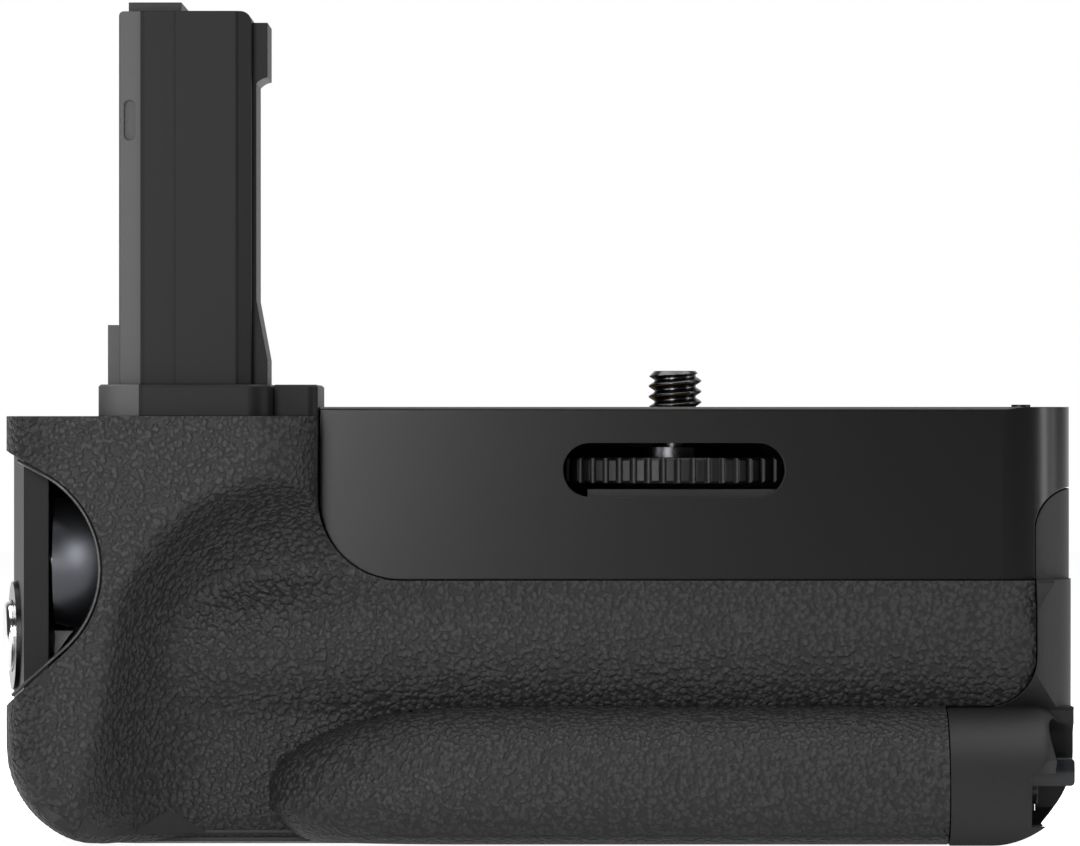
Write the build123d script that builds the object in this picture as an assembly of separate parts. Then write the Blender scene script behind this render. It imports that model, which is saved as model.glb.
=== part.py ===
from build123d import *
from math import cos, sin, sqrt, radians
import os

os.makedirs("parts", exist_ok=True)

# A battery grip that screws under a camera. All sizes are in millimetres.
# The camera screw's axis is x = 0, y = 0 and the top mating face is z = 0.
# +x is to the right seen from the front, the front faces -y.

# Overall body
left_reach = 78.6
right_reach = 46.6
body_height = 51.2
front_depth = 17.6
rear_depth = 20.4
pod_reach = 29.5
pod_step = 1.1
bottom_left_radius = 11.8
bottom_right_radius = 10.6
pod_left_radius = 7.5
pod_right_radius = 7.6
front_right_radius = 8.4
front_right_lead = 0.4
rear_left_radius = 4.0
bottom_front_radius = 4.0
bottom_rear_radius = 3.0
top_rear_radius = 1.2

# Thicknesses and clearances
skin = 1.0
wall = 1.2
seam = 0.15
slide_gap = 0.1
run_gap = 0.05
free_gap = 0.3
round_margin = 0.01

# Satin upper cover
plate_left = 42.1
plate_height = 20.3
plate_corner_radius = 9.5
plate_thickness = 1.8
deck_thickness = 2.4
rear_band_height = 12.0
top_edge_radius = 0.5
case_split_y = 4.0

# Front grip: finger swell, crease, pod edge and lower bulge
swell_rise = 2.8
swell_overlap = 0.4
swell_left = 59.0
pod_arc_x = 44.0
pod_arc_z = 30.0
pod_arc_radius = 22.0
pod_foot_lean = 4.0
recess_run = 14.0
recess_power = 2.4
recess_bands = 4
bulge_rise = 5.9
bulge_reach = 10.9
bulge_half_height = 10.0
bulge_centre_z = body_height - bulge_rise
crease_z = bulge_centre_z - bulge_half_height
swell_centre_z = (plate_height + crease_z) / 2
swell_half_height = (crease_z - plate_height) / 2 + swell_overlap
bulge_nose_x = 24.0
bulge_nose_length = 24.0
bulge_end_run = 4.4

# Camera screw and lock wheel
screw_radius = 3.175
screw_height = 4.35
screw_tip_chamfer = 0.7
screw_relief = 0.5
screw_flange_radius = 6.0
screw_flange_thickness = 1.2
bush_radius = 5.5
bush_flange_radius = 8.0
bush_flange_thickness = 1.4
wheel_radius = 18.0
wheel_thickness = 3.0
wheel_top_z = 6.0
wheel_groove_count = 64
wheel_groove_radius = 0.45
wheel_groove_shift = 0.1
wheel_edge = 0.3
wheel_recess_radius = 13.0
wheel_recess_depth = 0.6
slot_left = 13.5
slot_right = 12.6
slot_top = 4.25
slot_bottom = 10.6

# Battery packs, tray and chamber
pack_thickness = 18.0
pack_width = 29.0
pack_length = 45.0
pack_radius = 1.6
pack_groove_start = 3.0
pack_groove_length = 9.0
pack_groove_depth = 0.8
pack_groove_width = 3.0
tray_wall = 0.7
tray_end_gap = 0.6
tray_face_thickness = 1.0
tray_rib_depth = 2.8
tray_rib_height = 1.6
tray_rib_width = 18.0
tray_corner_radius = 1.8
tray_window_end = 6.0
tray_window_edge = 4.0
liner_wall = 0.6
contact_depth = 1.9
contact_width = 3.0
contact_height = 8.0
contact_pitch = 7.0
contact_end_margin = 1.0
contact_count_per_pack = 4
pad_width = 2.4
pad_thickness = 0.2

# Base
base_left_margin = 11.1
base_right_margin = 9.2
base_front_margin = 4.4
base_rear_margin = 4.6
base_rise = 2.0
base_left = left_reach - base_left_margin
base_right = right_reach - base_right_margin
base_front = front_depth - base_front_margin
base_rear = rear_depth - base_rear_margin
base_top_z = body_height - base_rise
floor_thickness = 0.8
base_proud = 0.4
base_corner_radius = 4.0
foot_length = 84.0
foot_width = 24.0
foot_thickness = 0.6
foot_proud = 0.1
foot_socket_margin = 0.6
foot_screw_margin = 0.8
socket_x = 17.5
socket_radius = 3.25
socket_outer_radius = 5.4
socket_flange_radius = 7.0
socket_flange_thickness = 1.0
socket_length = 9.0
socket_cap = 1.5
case_screw_radius = 0.9
case_screw_head_radius = 1.7
case_screw_head_height = 1.0
case_screw_slot_width = 0.4
case_screw_slot_depth = 0.4
case_screw_length = 6.0
case_boss_radius = 2.4
case_screw_inset = 4.0
case_screw_spacing = 48.0
case_screw_reach = 5.0
case_bore_reach = 5.2

# Battery door, hinge and latch
end_cap_depth = 4.4
end_bulge_length = 15.0
door_seam_x = right_reach - end_cap_depth
door_bulge_x = right_reach - end_bulge_length
door_arch_z = 9.6
door_arch_radius = 5.0
door_turn_radius = 6.0
door_wall = 2.2
end_hollow_radius = 4.2
door_rim = 1.5
hinge_inset = 2.3
hinge_gap = 0.25
hinge_drop = 0.5
hinge_top_z = rear_band_height + hinge_drop
hinge_pin_radius = 0.8
lug_length = 4.0
hinge_foot = 3.8
lug_arm_reach = 2.0
lug_arm_inset = 0.3
knuckle_length = (body_height - hinge_top_z - hinge_foot - 3 * lug_length - 4 * slide_gap) / 2
door_pad_width = 16.0
door_pad_margin = 4.0
latch_reach = 2.9
latch_rise = 8.5
latch_y = front_depth + latch_reach
latch_z = body_height - latch_rise
latch_recess_radius = 6.2
latch_recess_back = 16.2
latch_recess_depth = 5.6
latch_recess_x = right_reach - latch_recess_depth
latch_boss_wall = 0.9
latch_floor = 1.5
latch_disc_radius = 3.9
latch_disc_thickness = 1.0
latch_bar_thickness = 3.2
latch_bar_edge = 0.5
latch_bar_inset = 0.35
latch_bar_x = right_reach - latch_bar_inset
latch_shaft_radius = 1.6
cam_length = 3.6
cam_width = 3.4
cam_thickness = 1.4
cam_corner_radius = 0.6
cam_hub_wall = 0.6
keeper_length = 4.6
keeper_height = 5.0
keeper_width = 4.0
keeper_foot_thickness = 1.2
keeper_foot_height = 6.4
keeper_foot_lap = 1.5

# Front dial in its recess at the left end
recess_corner_x = 57.3
recess_corner_z = 16.2
recess_radius = 12.8
recess_rise = 0.52
recess_fall = 0.88
recess_floor_y = 13.0
ledge_y = 25.2
ledge_right_x = 73.5
ledge_left_x = 76.4
end_panel_rear = 6.0
dial_radius = 7.8
dial_left_x = 73.0
dial_right_x = 66.9
dial_crown = 0.5
dial_y = 19.6
dial_z = 18.1
dial_axle_radius = 1.2
dial_axle_seat = 2.2

# Release button and power ring at the left end
release_y = 14.5
release_z = 27.0
release_tilt = 8.4
ring_radius = 6.4
ring_bore_radius = 4.3
ring_proud = 0.55
ring_depth = 1.6
ring_tab_length = 2.5
ring_tab_width = 3.0
ring_tab_height = 1.15
ring_tab_inset = 0.4
release_radius = 4.1
release_proud = 0.9
release_travel = 1.0
release_cap_thickness = 1.4
release_stem_radius = 1.6
release_stem_length = 1.3
release_cap_edge = 0.6
switch_radius = 2.2
switch_height = 1.5
switch_lead = 0.1
well_depth = 10.0

# Rear controls
rear_dial_radius = 7.5
rear_dial_x = 69.0
rear_dial_width = 5.0
rear_dial_y = 14.6
rear_axle_radius = 1.0
rear_axle_seat = 2.4
rear_seat_half = 3.0
rear_dial_z = 18.0
rear_rib_count = 24
rear_rib_radius = 0.45
rear_rib_shift = 0.1
button_x = 53.0
focus_z = 16.0
lock_z = 31.0
button_radius = 3.4
button_proud = 1.1
button_flange_radius = 4.2
button_flange_thickness = 0.8
button_edge = 0.4
lever_radius = 6.6
lever_thickness = 1.2
lever_proud = 0.8
lever_arm_length = 3.4
lever_arm_width = 3.0
lever_corner_radius = 0.8
rear_grip_left = 74.0
rear_grip_right = 40.0
rear_grip_foot = 3.2
rear_grip_height = 8.5
rear_grip_rise = 0.8
rear_grip_corner_radius = 2.4
rear_grip_edge = 0.3

# Main board
board_thickness = 1.2
board_front_y = 15.4
board_margin = 9.0
board_left = button_x + board_margin
board_right = 13.0
board_top = 11.0
board_foot = 7.2
board_post_radius = 2.0
board_post_inset = 2.5
board_bottom = body_height - board_foot
chip_size = 8.0
chip_height = 1.2
chip_low_z = 34.0
chip_places = (12.0, 24.0)
key_dome_height = 0.3
key_dome_radius = 2.0
cable_thickness = 0.3
cable_width = 9.0
cable_y = 8.0
cable_drop = 3.0

# Plug tower, shaped like the pack that it stands in for in the camera
plug_left = 65.5
plug_right = 50.0
plug_front = 23.0
plug_depth = 29.4
plug_top = 46.3
plug_wall = 1.4
plug_split = 8.3
plug_corner_radius = 1.2
plug_rib_radius = 0.3
plug_front_radius = 0.6
plug_rear_radius = 1.5
rib_width = 2.5
rib_setback = 0.9
face_step_x = 58.9
face_step = 0.4
front_corner_run = 1.6
rib_slot_low = 31.2
rib_slot_high = 35.9
rib_slot_width = 1.3
rib_slot_depth = 0.6
catch_width = 1.8
catch_depth = 14.0
catch_low = 38.7
catch_scoop = 2.0
catch_scoop_lead = 0.25
catch_shift = 4.0
catch_web = 0.5
flare_low = 5.5
flare_high = 12.5
plug_tab_left = 66.9
plug_tab_top = 9.6
plug_tab_depth = 5.0
plug_tab_setback = 3.0
contact_block_left = 64.6
contact_block_right = 58.4
contact_block_top = 47.6
contact_block_depth = 18.0
contact_flange_reach = 1.5
contact_flange_lap = 1.2
contact_flange_height = 3.0
pin_inset = 1.2
pin_depth = 0.8
contact_count = 5
pin_width = 1.6
pin_pitch = 3.2
flange_left = 67.8
flange_right = 47.5
flange_top = 2.6
flange_front = 26.2
flange_rear = 9.4
flange_radius = 2.8
flange_edge = 0.25
cable_room_depth = 8.0
step_front = 21.0
step_rear = 7.0
step_radius = 1.2

# Small locating bump on the top face
bump_x = 41.5
bump_radius = 1.15
bump_height = 0.3


def profile(points, radii=0.0):
    """A closed flat outline with its corners rounded."""
    corner_radii = radii if isinstance(radii, list) else [radii] * len(points)
    if not any(corner_radii):
        return make_face(Polyline(*points, close=True))
    return make_face(FilletPolyline(*points, radius=corner_radii, close=True))


def prism_y(points, radii, y_front, y_back):
    """An (x, z) outline pushed from front to back."""
    face = Plane.XZ.offset(-y_front) * profile(points, radii)
    return extrude(face, amount=y_back - y_front, dir=(0, 1, 0))


def prism_x(points, radii, x_left, x_right):
    """A (y, z) outline pushed from left to right."""
    face = Plane.YZ.offset(x_left) * profile(points, radii)
    return extrude(face, amount=x_right - x_left, dir=(1, 0, 0))


def prism_z(points, radii, z_low, z_high):
    """An (x, y) outline pushed upwards."""
    return extrude(Plane.XY.offset(z_low) * profile(points, radii), amount=z_high - z_low)


def block(x_left, x_right, y_front, y_back, z_low, z_high):
    """A plain block between six planes."""
    size = Box(x_right - x_left, y_back - y_front, z_high - z_low)
    return Pos((x_left + x_right) / 2, (y_front + y_back) / 2, (z_low + z_high) / 2) * size


def rod_x(x_left, x_right, y, z, radius):
    """A round bar along x."""
    return Pos((x_left + x_right) / 2, y, z) * Rot(0, 90, 0) * Cylinder(radius, x_right - x_left)


def rod_y(x, y_front, y_back, z, radius):
    """A round bar along y."""
    return Pos(x, (y_front + y_back) / 2, z) * Rot(90, 0, 0) * Cylinder(radius, y_back - y_front)


def rod_z(x, y, z_low, z_high, radius):
    """A round bar along z."""
    return Pos(x, y, (z_low + z_high) / 2) * Cylinder(radius, z_high - z_low)


def save(name, shape):
    """Write one sub-part under its own name."""
    solids = shape.solids()
    export_step(solids[0] if len(solids) == 1 else Compound(children=list(solids)), f"parts/{name}.step")


# Front form of the grip


def recess_section(share, y):
    """The finger recess's outline where its slope has fallen by a share of the pod's depth."""
    run = recess_run * (1 - (1 - share) ** (1 / recess_power))
    arc = CenterArc((-pod_arc_x, -pod_arc_z), pod_arc_radius - run, 90, 90)
    left, top = -pod_arc_x - pod_arc_radius + run, -pod_arc_z + pod_arc_radius - run
    low = -body_height - 1
    rest = Polyline(
        (left, -pod_arc_z),
        (left - pod_foot_lean, low),
        (right_reach + 2, low),
        (right_reach + 2, top),
        (-pod_arc_x, top),
    )
    return Plane.XZ.offset(-y) * make_face(arc + rest)


def front_space(inset):
    """The finger recess in front of the body, sloping in from the pod's edge."""
    sections = [recess_section(0, -pod_reach - 2)]
    for band in range(recess_bands + 1):
        share = band / recess_bands
        sections.append(recess_section(share, -pod_reach + inset + share * (pod_reach - front_depth)))
    return loft(sections, ruled=True)


def swell(inset):
    """The low swell under the satin plate, which rolls back into the crease."""
    radius = (swell_half_height * swell_half_height + swell_rise * swell_rise) / (2 * swell_rise)
    axis_y = -front_depth - swell_rise + radius
    return rod_x(-swell_left, right_reach + 1, axis_y, -swell_centre_z, radius - inset)


def bulge(inset):
    """The bar along the bottom edge that the fingers close round, rounded at both its ends."""
    radius = bulge_half_height - inset
    nose, run = bulge_nose_length - inset, bulge_end_run - inset
    end_x = right_reach - bulge_end_run
    left_arc = EllipticalCenterArc((-bulge_nose_x, 0), nose, radius, start_angle=90, arc_size=90)
    right_arc = EllipticalCenterArc((end_x, 0), run, radius, start_angle=0, arc_size=90)
    top = Line((end_x, radius), (-bulge_nose_x, radius))
    low = Line((-bulge_nose_x - nose, 0), (end_x + run, 0))
    turned = revolve(make_face(left_arc + right_arc + top + low), Axis.X)
    stretched = scale(turned, by=(1, (bulge_reach - inset) / radius, 1))
    return Pos(0, -front_depth, -bulge_centre_z) * stretched


def front_corner(right, front, radius, z_low, z_high):
    """What is cut away to round the body's front right edge between two heights."""
    room = block(right - radius, right + 1, front - 2 * pod_reach, front + radius, z_low, z_high)
    return room - rod_z(right - radius, front + radius, z_low, z_high, radius)


def body_envelope(inset):
    """The body's outline from the front, from above and from the side, crossed."""
    left, right = -left_reach + inset, right_reach - inset
    bottom, back = -body_height + inset, rear_depth - inset
    pod = -pod_reach + inset
    swell = -front_depth - swell_rise - front_right_lead + inset
    low_front = -front_depth - bulge_reach - front_right_lead + inset
    front_view = prism_y(
        [(left, -pod_step), (right, -pod_step), (right, bottom), (left, bottom)],
        [0, 0, bottom_right_radius - inset, bottom_left_radius - inset],
        -pod_reach - 1,
        rear_depth + 1,
    )
    rear_corners = [(right, back), (left, back)]
    rear_radii = [hinge_inset - inset if hinge_inset > inset else 0, rear_left_radius - inset]
    pod_radius, right_radius = pod_left_radius - inset, front_right_radius - inset
    pod_right = -plate_left - seam - inset
    upper = prism_z(
        [(left, pod), (pod_right, pod), (pod_right, -front_depth + inset), (right, -front_depth + inset)]
        + rear_corners,
        [pod_radius, pod_right_radius - inset, 0, right_radius] + rear_radii,
        -plate_height,
        0,
    )
    lower = prism_z(
        [(left, pod), (right, pod)] + rear_corners,
        [pod_radius, 0] + rear_radii,
        -body_height - 1,
        -plate_height,
    )
    lower = lower - front_corner(right, swell, right_radius, -crease_z, 0)
    lower = lower - front_corner(right, low_front, right_radius, -body_height - 1, -crease_z)
    side_view = prism_x(
        [(pod, -pod_step), (back, -pod_step), (back, bottom), (pod, bottom)],
        [0, top_rear_radius, bottom_rear_radius - inset, bottom_front_radius - inset],
        -left_reach - 1,
        right_reach + 1,
    )
    return front_view & (upper + lower) & side_view


def grip_form(inset):
    """The whole body below the satin cover, drawn in by an inset."""
    envelope = body_envelope(inset)
    return (envelope - front_space(inset)) + (swell(inset) & envelope) + (bulge(inset) & envelope)


# The main moulded forms, at the outer skin and under the rubber
outer_form = grip_form(0)
skin_form = grip_form(skin)

# Places shared by several pieces
far = 90.0
hollow_depth = front_depth - skin - wall
hollow_front = -hollow_depth
hollow_rear = rear_depth - wall
hollow_left = -ledge_right_x - free_gap
tray_front_y = hollow_depth - liner_wall - slide_gap - run_gap
tray_near_x = door_seam_x - tray_end_gap
tray_rear_y = -tray_front_y + pack_width + 2 * tray_wall
liner_front = -tray_front_y - slide_gap - liner_wall
liner_rear = tray_rear_y + slide_gap + liner_wall
tray_bottom = -base_top_z + liner_wall + slide_gap
tray_height = 2 * pack_thickness + 3 * tray_wall
liner_top = tray_bottom + tray_height + slide_gap + liner_wall
pack_right = tray_near_x - tray_rib_depth - tray_face_thickness - slide_gap
pack_left = pack_right - pack_length
tray_left = pack_left - slide_gap - tray_wall
liner_left = tray_left - contact_depth - liner_wall
liner_right = door_seam_x - 2 * seam
hinge_x = right_reach - hinge_inset
hinge_y = rear_depth - hinge_inset
knuckle_radius = hinge_inset - run_gap
deck_top = -pod_step
deck_bottom = -pod_step - wall - skin
tray_middle_y = (tray_rear_y - tray_front_y) / 2
latch_floor_x = latch_recess_x - latch_floor
cam_left = latch_floor_x - slide_gap - cam_thickness
plug_centre_x = (plug_left + plug_right) / 2
contact_block_low = plug_top - plug_wall - contact_flange_height
slant_slope = sin(radians(release_tilt)) / cos(radians(release_tilt))
end_slant_rear = ledge_y - (left_reach - ledge_left_x) / slant_slope
release_x = ledge_left_x + (ledge_y - release_y) * slant_slope
release_out = (-cos(radians(release_tilt)), -sin(radians(release_tilt)), 0)
switch_top = switch_lead - ring_depth - release_stem_length
release_frame = Plane((-release_x, -release_y, -release_z), x_dir=(0, 0, 1), z_dir=release_out).location


def cover_space(gap):
    """The room that the satin upper cover takes from the body below it."""
    left, low = -plate_left - gap, -plate_height - gap
    front = prism_y(
        [(left, far), (far, far), (far, low), (left, low)],
        [0, 0, 0, plate_corner_radius + gap],
        -far,
        case_split_y,
    )
    return front + block(left, far, case_split_y, far, -rear_band_height - gap, far)


def door_space(gap):
    """The room of the battery door: the right end, and the right end of the bulge in front."""
    left, top = door_seam_x - gap, -door_arch_z + gap
    end = prism_y(
        [(left, top), (far, top), (far, -far), (left, -far)], [door_arch_radius, 0, 0, 0], -far, far
    )
    behind = -front_depth + skin + gap
    low_front = block(door_bulge_x - gap, far, -far, behind, -far, -crease_z + gap)
    turn_x, turn_z = door_seam_x - door_turn_radius, -crease_z + door_turn_radius
    turn = block(turn_x, door_seam_x, -far, behind, -crease_z, turn_z)
    turn = turn - rod_y(turn_x, -far - 1, behind + 1, turn_z, door_turn_radius - gap)
    corner = rod_z(hinge_x, hinge_y, -far, top, hinge_inset + (hinge_gap if gap > 0 else 0))
    return end + low_front + turn + corner


def recess_outline(grow):
    """The rounded wedge that opens the pod's left end for the front dial."""
    run = far - recess_corner_x
    points = [
        (-far, -recess_corner_z + recess_rise * run),
        (-recess_corner_x, -recess_corner_z),
        (-far, -recess_corner_z - recess_fall * run),
    ]
    wedge = profile(points, [0, recess_radius, 0])
    return offset(wedge, amount=grow) if grow else wedge


def recess_space(grow, y_front, y_back):
    """The dial recess pushed through the body between two depths."""
    return extrude(Plane.XZ.offset(-y_front) * recess_outline(grow), amount=y_back - y_front, dir=(0, 1, 0))


def end_panel_space(gap):
    """The pocket at the left end that the control panel drops into."""
    room = block(-far, -ledge_right_x + gap, -far, end_panel_rear + gap, -far, far)
    return recess_space(gap, -far, end_panel_rear + gap) & room


# Everything cut from the shells and the rubber at the left end
dial_well = recess_space(0, -far, -recess_floor_y) + rod_x(
    -dial_left_x - free_gap, -dial_right_x + free_gap, -dial_y, -dial_z, dial_radius + free_gap
)
ring_room = release_frame * Cylinder(ring_radius + seam, 4 * ring_depth)
left_end_cut = end_panel_space(seam) + dial_well + ring_room
floor_slab = block(-far, far, -hollow_depth, far, -far, -body_height + skin)
shell_form = skin_form + (outer_form & floor_slab)
base_corners = [(-base_left, -base_front), (base_right, -base_front)]
base_corners += [(base_right, base_rear), (-base_left, base_rear)]
base_opening = prism_z(base_corners, base_corner_radius, -far, -base_top_z - floor_thickness)
socket_hole = rod_z(-socket_x, 0, -far, far, socket_outer_radius)
main_hollow = block(hollow_left, far, hollow_front, hollow_rear, -base_top_z, deck_bottom)
shell_cut = main_hollow + base_opening + socket_hole + cover_space(seam) + door_space(seam) + left_end_cut
front_half = block(-far, far, -far, case_split_y, -far, far)
rear_half = block(-far, far, case_split_y, far, -far, far)

# Places of the case screws, each in a boss of the shell that it holds
case_screw_left = -base_left + case_screw_inset
case_screw_places = [
    (x, y)
    for x in (case_screw_left, case_screw_left + case_screw_spacing)
    for y in (-base_front + case_screw_inset, base_rear - case_screw_inset)
]


def with_case_bosses(shell, places):
    """One shell with its screw bosses, which stand on the base plate."""
    for x, y in places:
        shell = shell + rod_z(x, y, -base_top_z, -base_top_z + case_screw_length, case_boss_radius)
    for x, y in places:
        shell = shell - rod_z(x, y, -far, -base_top_z + case_bore_reach, case_screw_radius)
    return shell


def end_hollow(y_front, y_back, z_low, z_high):
    """The room inside the right end, rounded at the front like the wall outside it."""
    x = right_reach - door_wall
    corners = [(-far, y_front), (x, y_front), (x, y_back), (-far, y_back)]
    return prism_z(corners, [0, end_hollow_radius, 0, 0], z_low, z_high)


def upper_cover():
    """The satin moulding: front plate, top deck, rear band and the end above the door."""
    corners = [(-plate_left, -front_depth), (right_reach, -front_depth)]
    corners += [(right_reach, rear_depth), (-plate_left, rear_depth)]
    tall = prism_z(corners, [0, front_right_radius, hinge_inset, 0], -plate_height, 0)
    rounded = prism_x(
        [(-front_depth, 0), (rear_depth, 0), (rear_depth, -far), (-front_depth, -far)],
        [top_edge_radius, top_rear_radius, 0, 0],
        -far,
        far,
    )
    hollow = end_hollow(-front_depth + plate_thickness, hollow_rear, -far, -deck_thickness)
    slot_corners = [(-slot_left, -slot_top), (slot_right, -slot_top)]
    slot_corners += [(slot_right, -slot_bottom), (-slot_left, -slot_bottom)]
    slot = prism_y(slot_corners, (slot_bottom - slot_top) / 2 - round_margin, -far, 0)
    bore = rod_z(0, 0, -far, far, bush_radius)
    seat = rod_z(bump_x, 0, -bump_height, far, bump_radius)
    return (tall & rounded & cover_space(0)) - hollow - slot - bore - seat - door_space(seam)


def rear_pocket(x, z, depth, radius):
    """A round pocket in the back face."""
    return rod_y(x, rear_depth - depth, far, z, radius)


def rear_shell():
    """The back cover, with the hinge lugs, dial seats, board posts and screw bosses inside."""
    shell = (outer_form & rear_half) - shell_cut
    room = block(hollow_left, far, -far, hollow_rear, -base_top_z, deck_bottom)
    dial_left, dial_right = -rear_dial_x - rear_dial_width / 2, -rear_dial_x + rear_dial_width / 2
    seat_front = rear_dial_y - rear_seat_half
    seat_low, seat_top = -rear_dial_z - rear_seat_half, -rear_dial_z + rear_seat_half
    seat_right = dial_right + free_gap + rear_axle_seat
    seats = block(dial_right + free_gap, seat_right, seat_front, hollow_rear, seat_low, seat_top)
    seats = seats + block(hollow_left, dial_left - free_gap, seat_front, hollow_rear, seat_low, seat_top)
    shell = shell + (seats & room)
    for x in (-board_left + board_post_inset, -board_right - board_post_inset):
        for z in (-board_top - board_post_inset, -board_bottom + board_post_inset):
            shell = shell + rod_y(x, board_front_y + board_thickness, hollow_rear, z, board_post_radius)
    shell = with_case_bosses(shell, [place for place in case_screw_places if place[1] > case_split_y])
    dial_slot_radius = rear_dial_radius + free_gap
    slot_left, slot_right = dial_left - free_gap, dial_right + free_gap
    shell = shell - rod_x(slot_left, slot_right, rear_dial_y, -rear_dial_z, dial_slot_radius)
    axle_left = slot_left - rear_axle_seat
    shell = shell - rod_x(axle_left, seat_right, rear_dial_y, -rear_dial_z, rear_axle_radius)
    lever_seat = lever_thickness - lever_proud
    shell = shell - rear_pocket(-button_x, -focus_z, far, button_radius + slide_gap)
    shell = shell - rear_pocket(-button_x, -lock_z, far, button_radius + slide_gap)
    shell = shell - rear_pocket(-button_x, -focus_z, lever_seat, lever_radius + lever_arm_length + free_gap)
    cable_slot = block(
        -plug_centre_x - cable_width / 2 - free_gap,
        -plug_centre_x + cable_width / 2 + free_gap,
        cable_y - free_gap,
        cable_y + cable_thickness + free_gap,
        -far / 2,
        far,
    )
    shell = shell - (cable_slot & block(-far, far, -far, far, deck_bottom - 1, far))
    return shell + hinge_lugs() - hinge_pin_bar(hinge_pin_radius)


def hinge_levels():
    """The z levels of the three fixed lugs and of the two door knuckles between them."""
    lugs, knuckles = [], []
    z = -hinge_top_z
    for turn in range(3):
        lugs.append((z - lug_length, z))
        z -= lug_length + slide_gap
        if turn < 2:
            knuckles.append((z - knuckle_length, z))
            z -= knuckle_length + slide_gap
    return lugs, knuckles


def hinge_lugs():
    """Fixed round lugs round the hinge pin, each joined to the back wall by a short arm."""
    lugs = None
    for low, high in hinge_levels()[0]:
        arm_left, arm_back = hinge_x - hinge_inset - lug_arm_reach, rear_depth - lug_arm_inset
        arm = block(arm_left, hinge_x, hinge_y, arm_back, low, high)
        lug = rod_z(hinge_x, hinge_y, low, high, knuckle_radius) + arm
        lugs = lug if lugs is None else lugs + lug
    return lugs


def hinge_pin_bar(radius):
    """The round room of the hinge pin through every lug and knuckle."""
    lugs = hinge_levels()[0]
    return rod_z(hinge_x, hinge_y, lugs[-1][0], lugs[0][1], radius)


def battery_door():
    """The hinged end cap: a thin wall with a rim, the end of the bulge, and the latch housing."""
    low_z = -body_height + door_rim
    inner_x = right_reach - door_wall
    hinge_side = hinge_y - hinge_inset - hinge_gap
    hollow = end_hollow(-front_depth + skin + wall, far, low_z, -door_arch_z - door_rim)
    past_hinge = block(-far, inner_x, hinge_side, far, -far, far)
    bulge_room = block(-far, inner_x, -far, -front_depth + skin, low_z, -crease_z - door_rim)
    door = (outer_form & door_space(0)) - hollow - past_hinge - (bulge(door_rim) & bulge_room)
    knuckles_low = hinge_levels()[0][-1][0]
    door = door + rod_z(hinge_x, hinge_y, knuckles_low, -door_arch_z - slide_gap, knuckle_radius)
    boss = rod_x(latch_floor_x, inner_x + 0.5, -latch_y, -latch_z, latch_recess_radius + latch_boss_wall)
    boss = boss & outer_form & block(-far, far, -far, -front_depth + skin, -far, far)
    pad_low, pad_top = tray_bottom + door_pad_margin, tray_bottom + tray_height - door_pad_margin
    pad = block(door_seam_x + slide_gap, inner_x, -door_pad_width / 2, door_pad_width / 2, pad_low, pad_top)
    door = door + boss + pad
    recess = rod_x(latch_recess_x, far, -latch_y, -latch_z, latch_recess_radius)
    low_corner = block(latch_recess_x, far, -far, -latch_y, -latch_z - latch_recess_radius, -latch_z)
    door = door - ((recess + low_corner) & block(0, far, -far, -latch_recess_back, -far, far))
    door = door - rod_x(0, far, -latch_y, -latch_z, latch_shaft_radius + run_gap)
    for low, high in hinge_levels()[0]:
        gap = rod_z(hinge_x, hinge_y, low - slide_gap, high + slide_gap, hinge_inset + hinge_gap)
        door = door - gap
    return door - hinge_pin_bar(hinge_pin_radius + run_gap)


def battery_tray():
    """Three shelves between an end wall and a pull face; each gap between shelves holds one pack."""
    bottom, top = tray_bottom, tray_bottom + tray_height
    shelf = pack_thickness + tray_wall
    face_left = pack_right + slide_gap
    face_right = face_left + tray_face_thickness
    corners = [(tray_left, -tray_front_y), (face_right, -tray_front_y)]
    corners += [(face_right, tray_rear_y), (tray_left, tray_rear_y)]
    outline = prism_z(corners, [0, tray_corner_radius, 0, 0], bottom, top)
    inner_front, inner_rear = -tray_front_y + tray_wall, tray_rear_y - tray_wall
    room_left = pack_left - slide_gap
    room = block(room_left, face_left, inner_front, inner_rear, bottom + tray_wall, top - tray_wall)
    window_left, window_right = pack_left + tray_window_end, pack_right - tray_window_end
    middle = (bottom + top) / 2
    shelf_low = middle - tray_wall / 2
    tray = outline - room
    for low in (bottom, bottom + shelf):
        high = low + tray_wall + pack_thickness - tray_window_edge
        tray = tray - block(window_left, window_right, -far, far, low + tray_wall + tray_window_edge, high)
    shelf_front, shelf_rear = -tray_front_y + run_gap, tray_rear_y - run_gap
    middle_shelf = block(tray_left, face_right, shelf_front, shelf_rear, shelf_low, shelf_low + tray_wall)
    tray = (tray + middle_shelf) & outline
    pull_low = middle - tray_rib_height / 2
    pull_half, pull_top = tray_rib_width / 2, pull_low + tray_rib_height
    pull = block(pack_right, tray_near_x, -pull_half, pull_half, pull_low, pull_top)
    row_front, row_rear = tray_middle_y - 2 * contact_pitch, tray_middle_y + 2 * contact_pitch
    for z in contact_levels():
        low = z - contact_height / 2
        tray = tray - block(-far, pack_left, row_front, row_rear, low, low + contact_height)
    return tray + pull


def contact_levels():
    """The mid height of each pack in the tray."""
    first = tray_bottom + tray_wall + pack_thickness / 2
    return [first, first + pack_thickness + tray_wall]


def battery_pack(z):
    """One plain pack with rounded long edges and a guide groove near its contact end."""
    edge = -tray_front_y + tray_wall
    front, back = edge + run_gap, edge + pack_width - run_gap
    low, high = z - pack_thickness / 2 + run_gap, z + pack_thickness / 2 - run_gap
    corners = [(front, low), (back, low), (back, high), (front, high)]
    body = prism_x(corners, pack_radius, pack_left, pack_right)
    groove_left, half = pack_left + pack_groove_start, pack_groove_width / 2
    groove_right = groove_left + pack_groove_length
    return body - block(groove_left, groove_right, -far, edge + pack_groove_depth, z - half, z + half)


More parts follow.
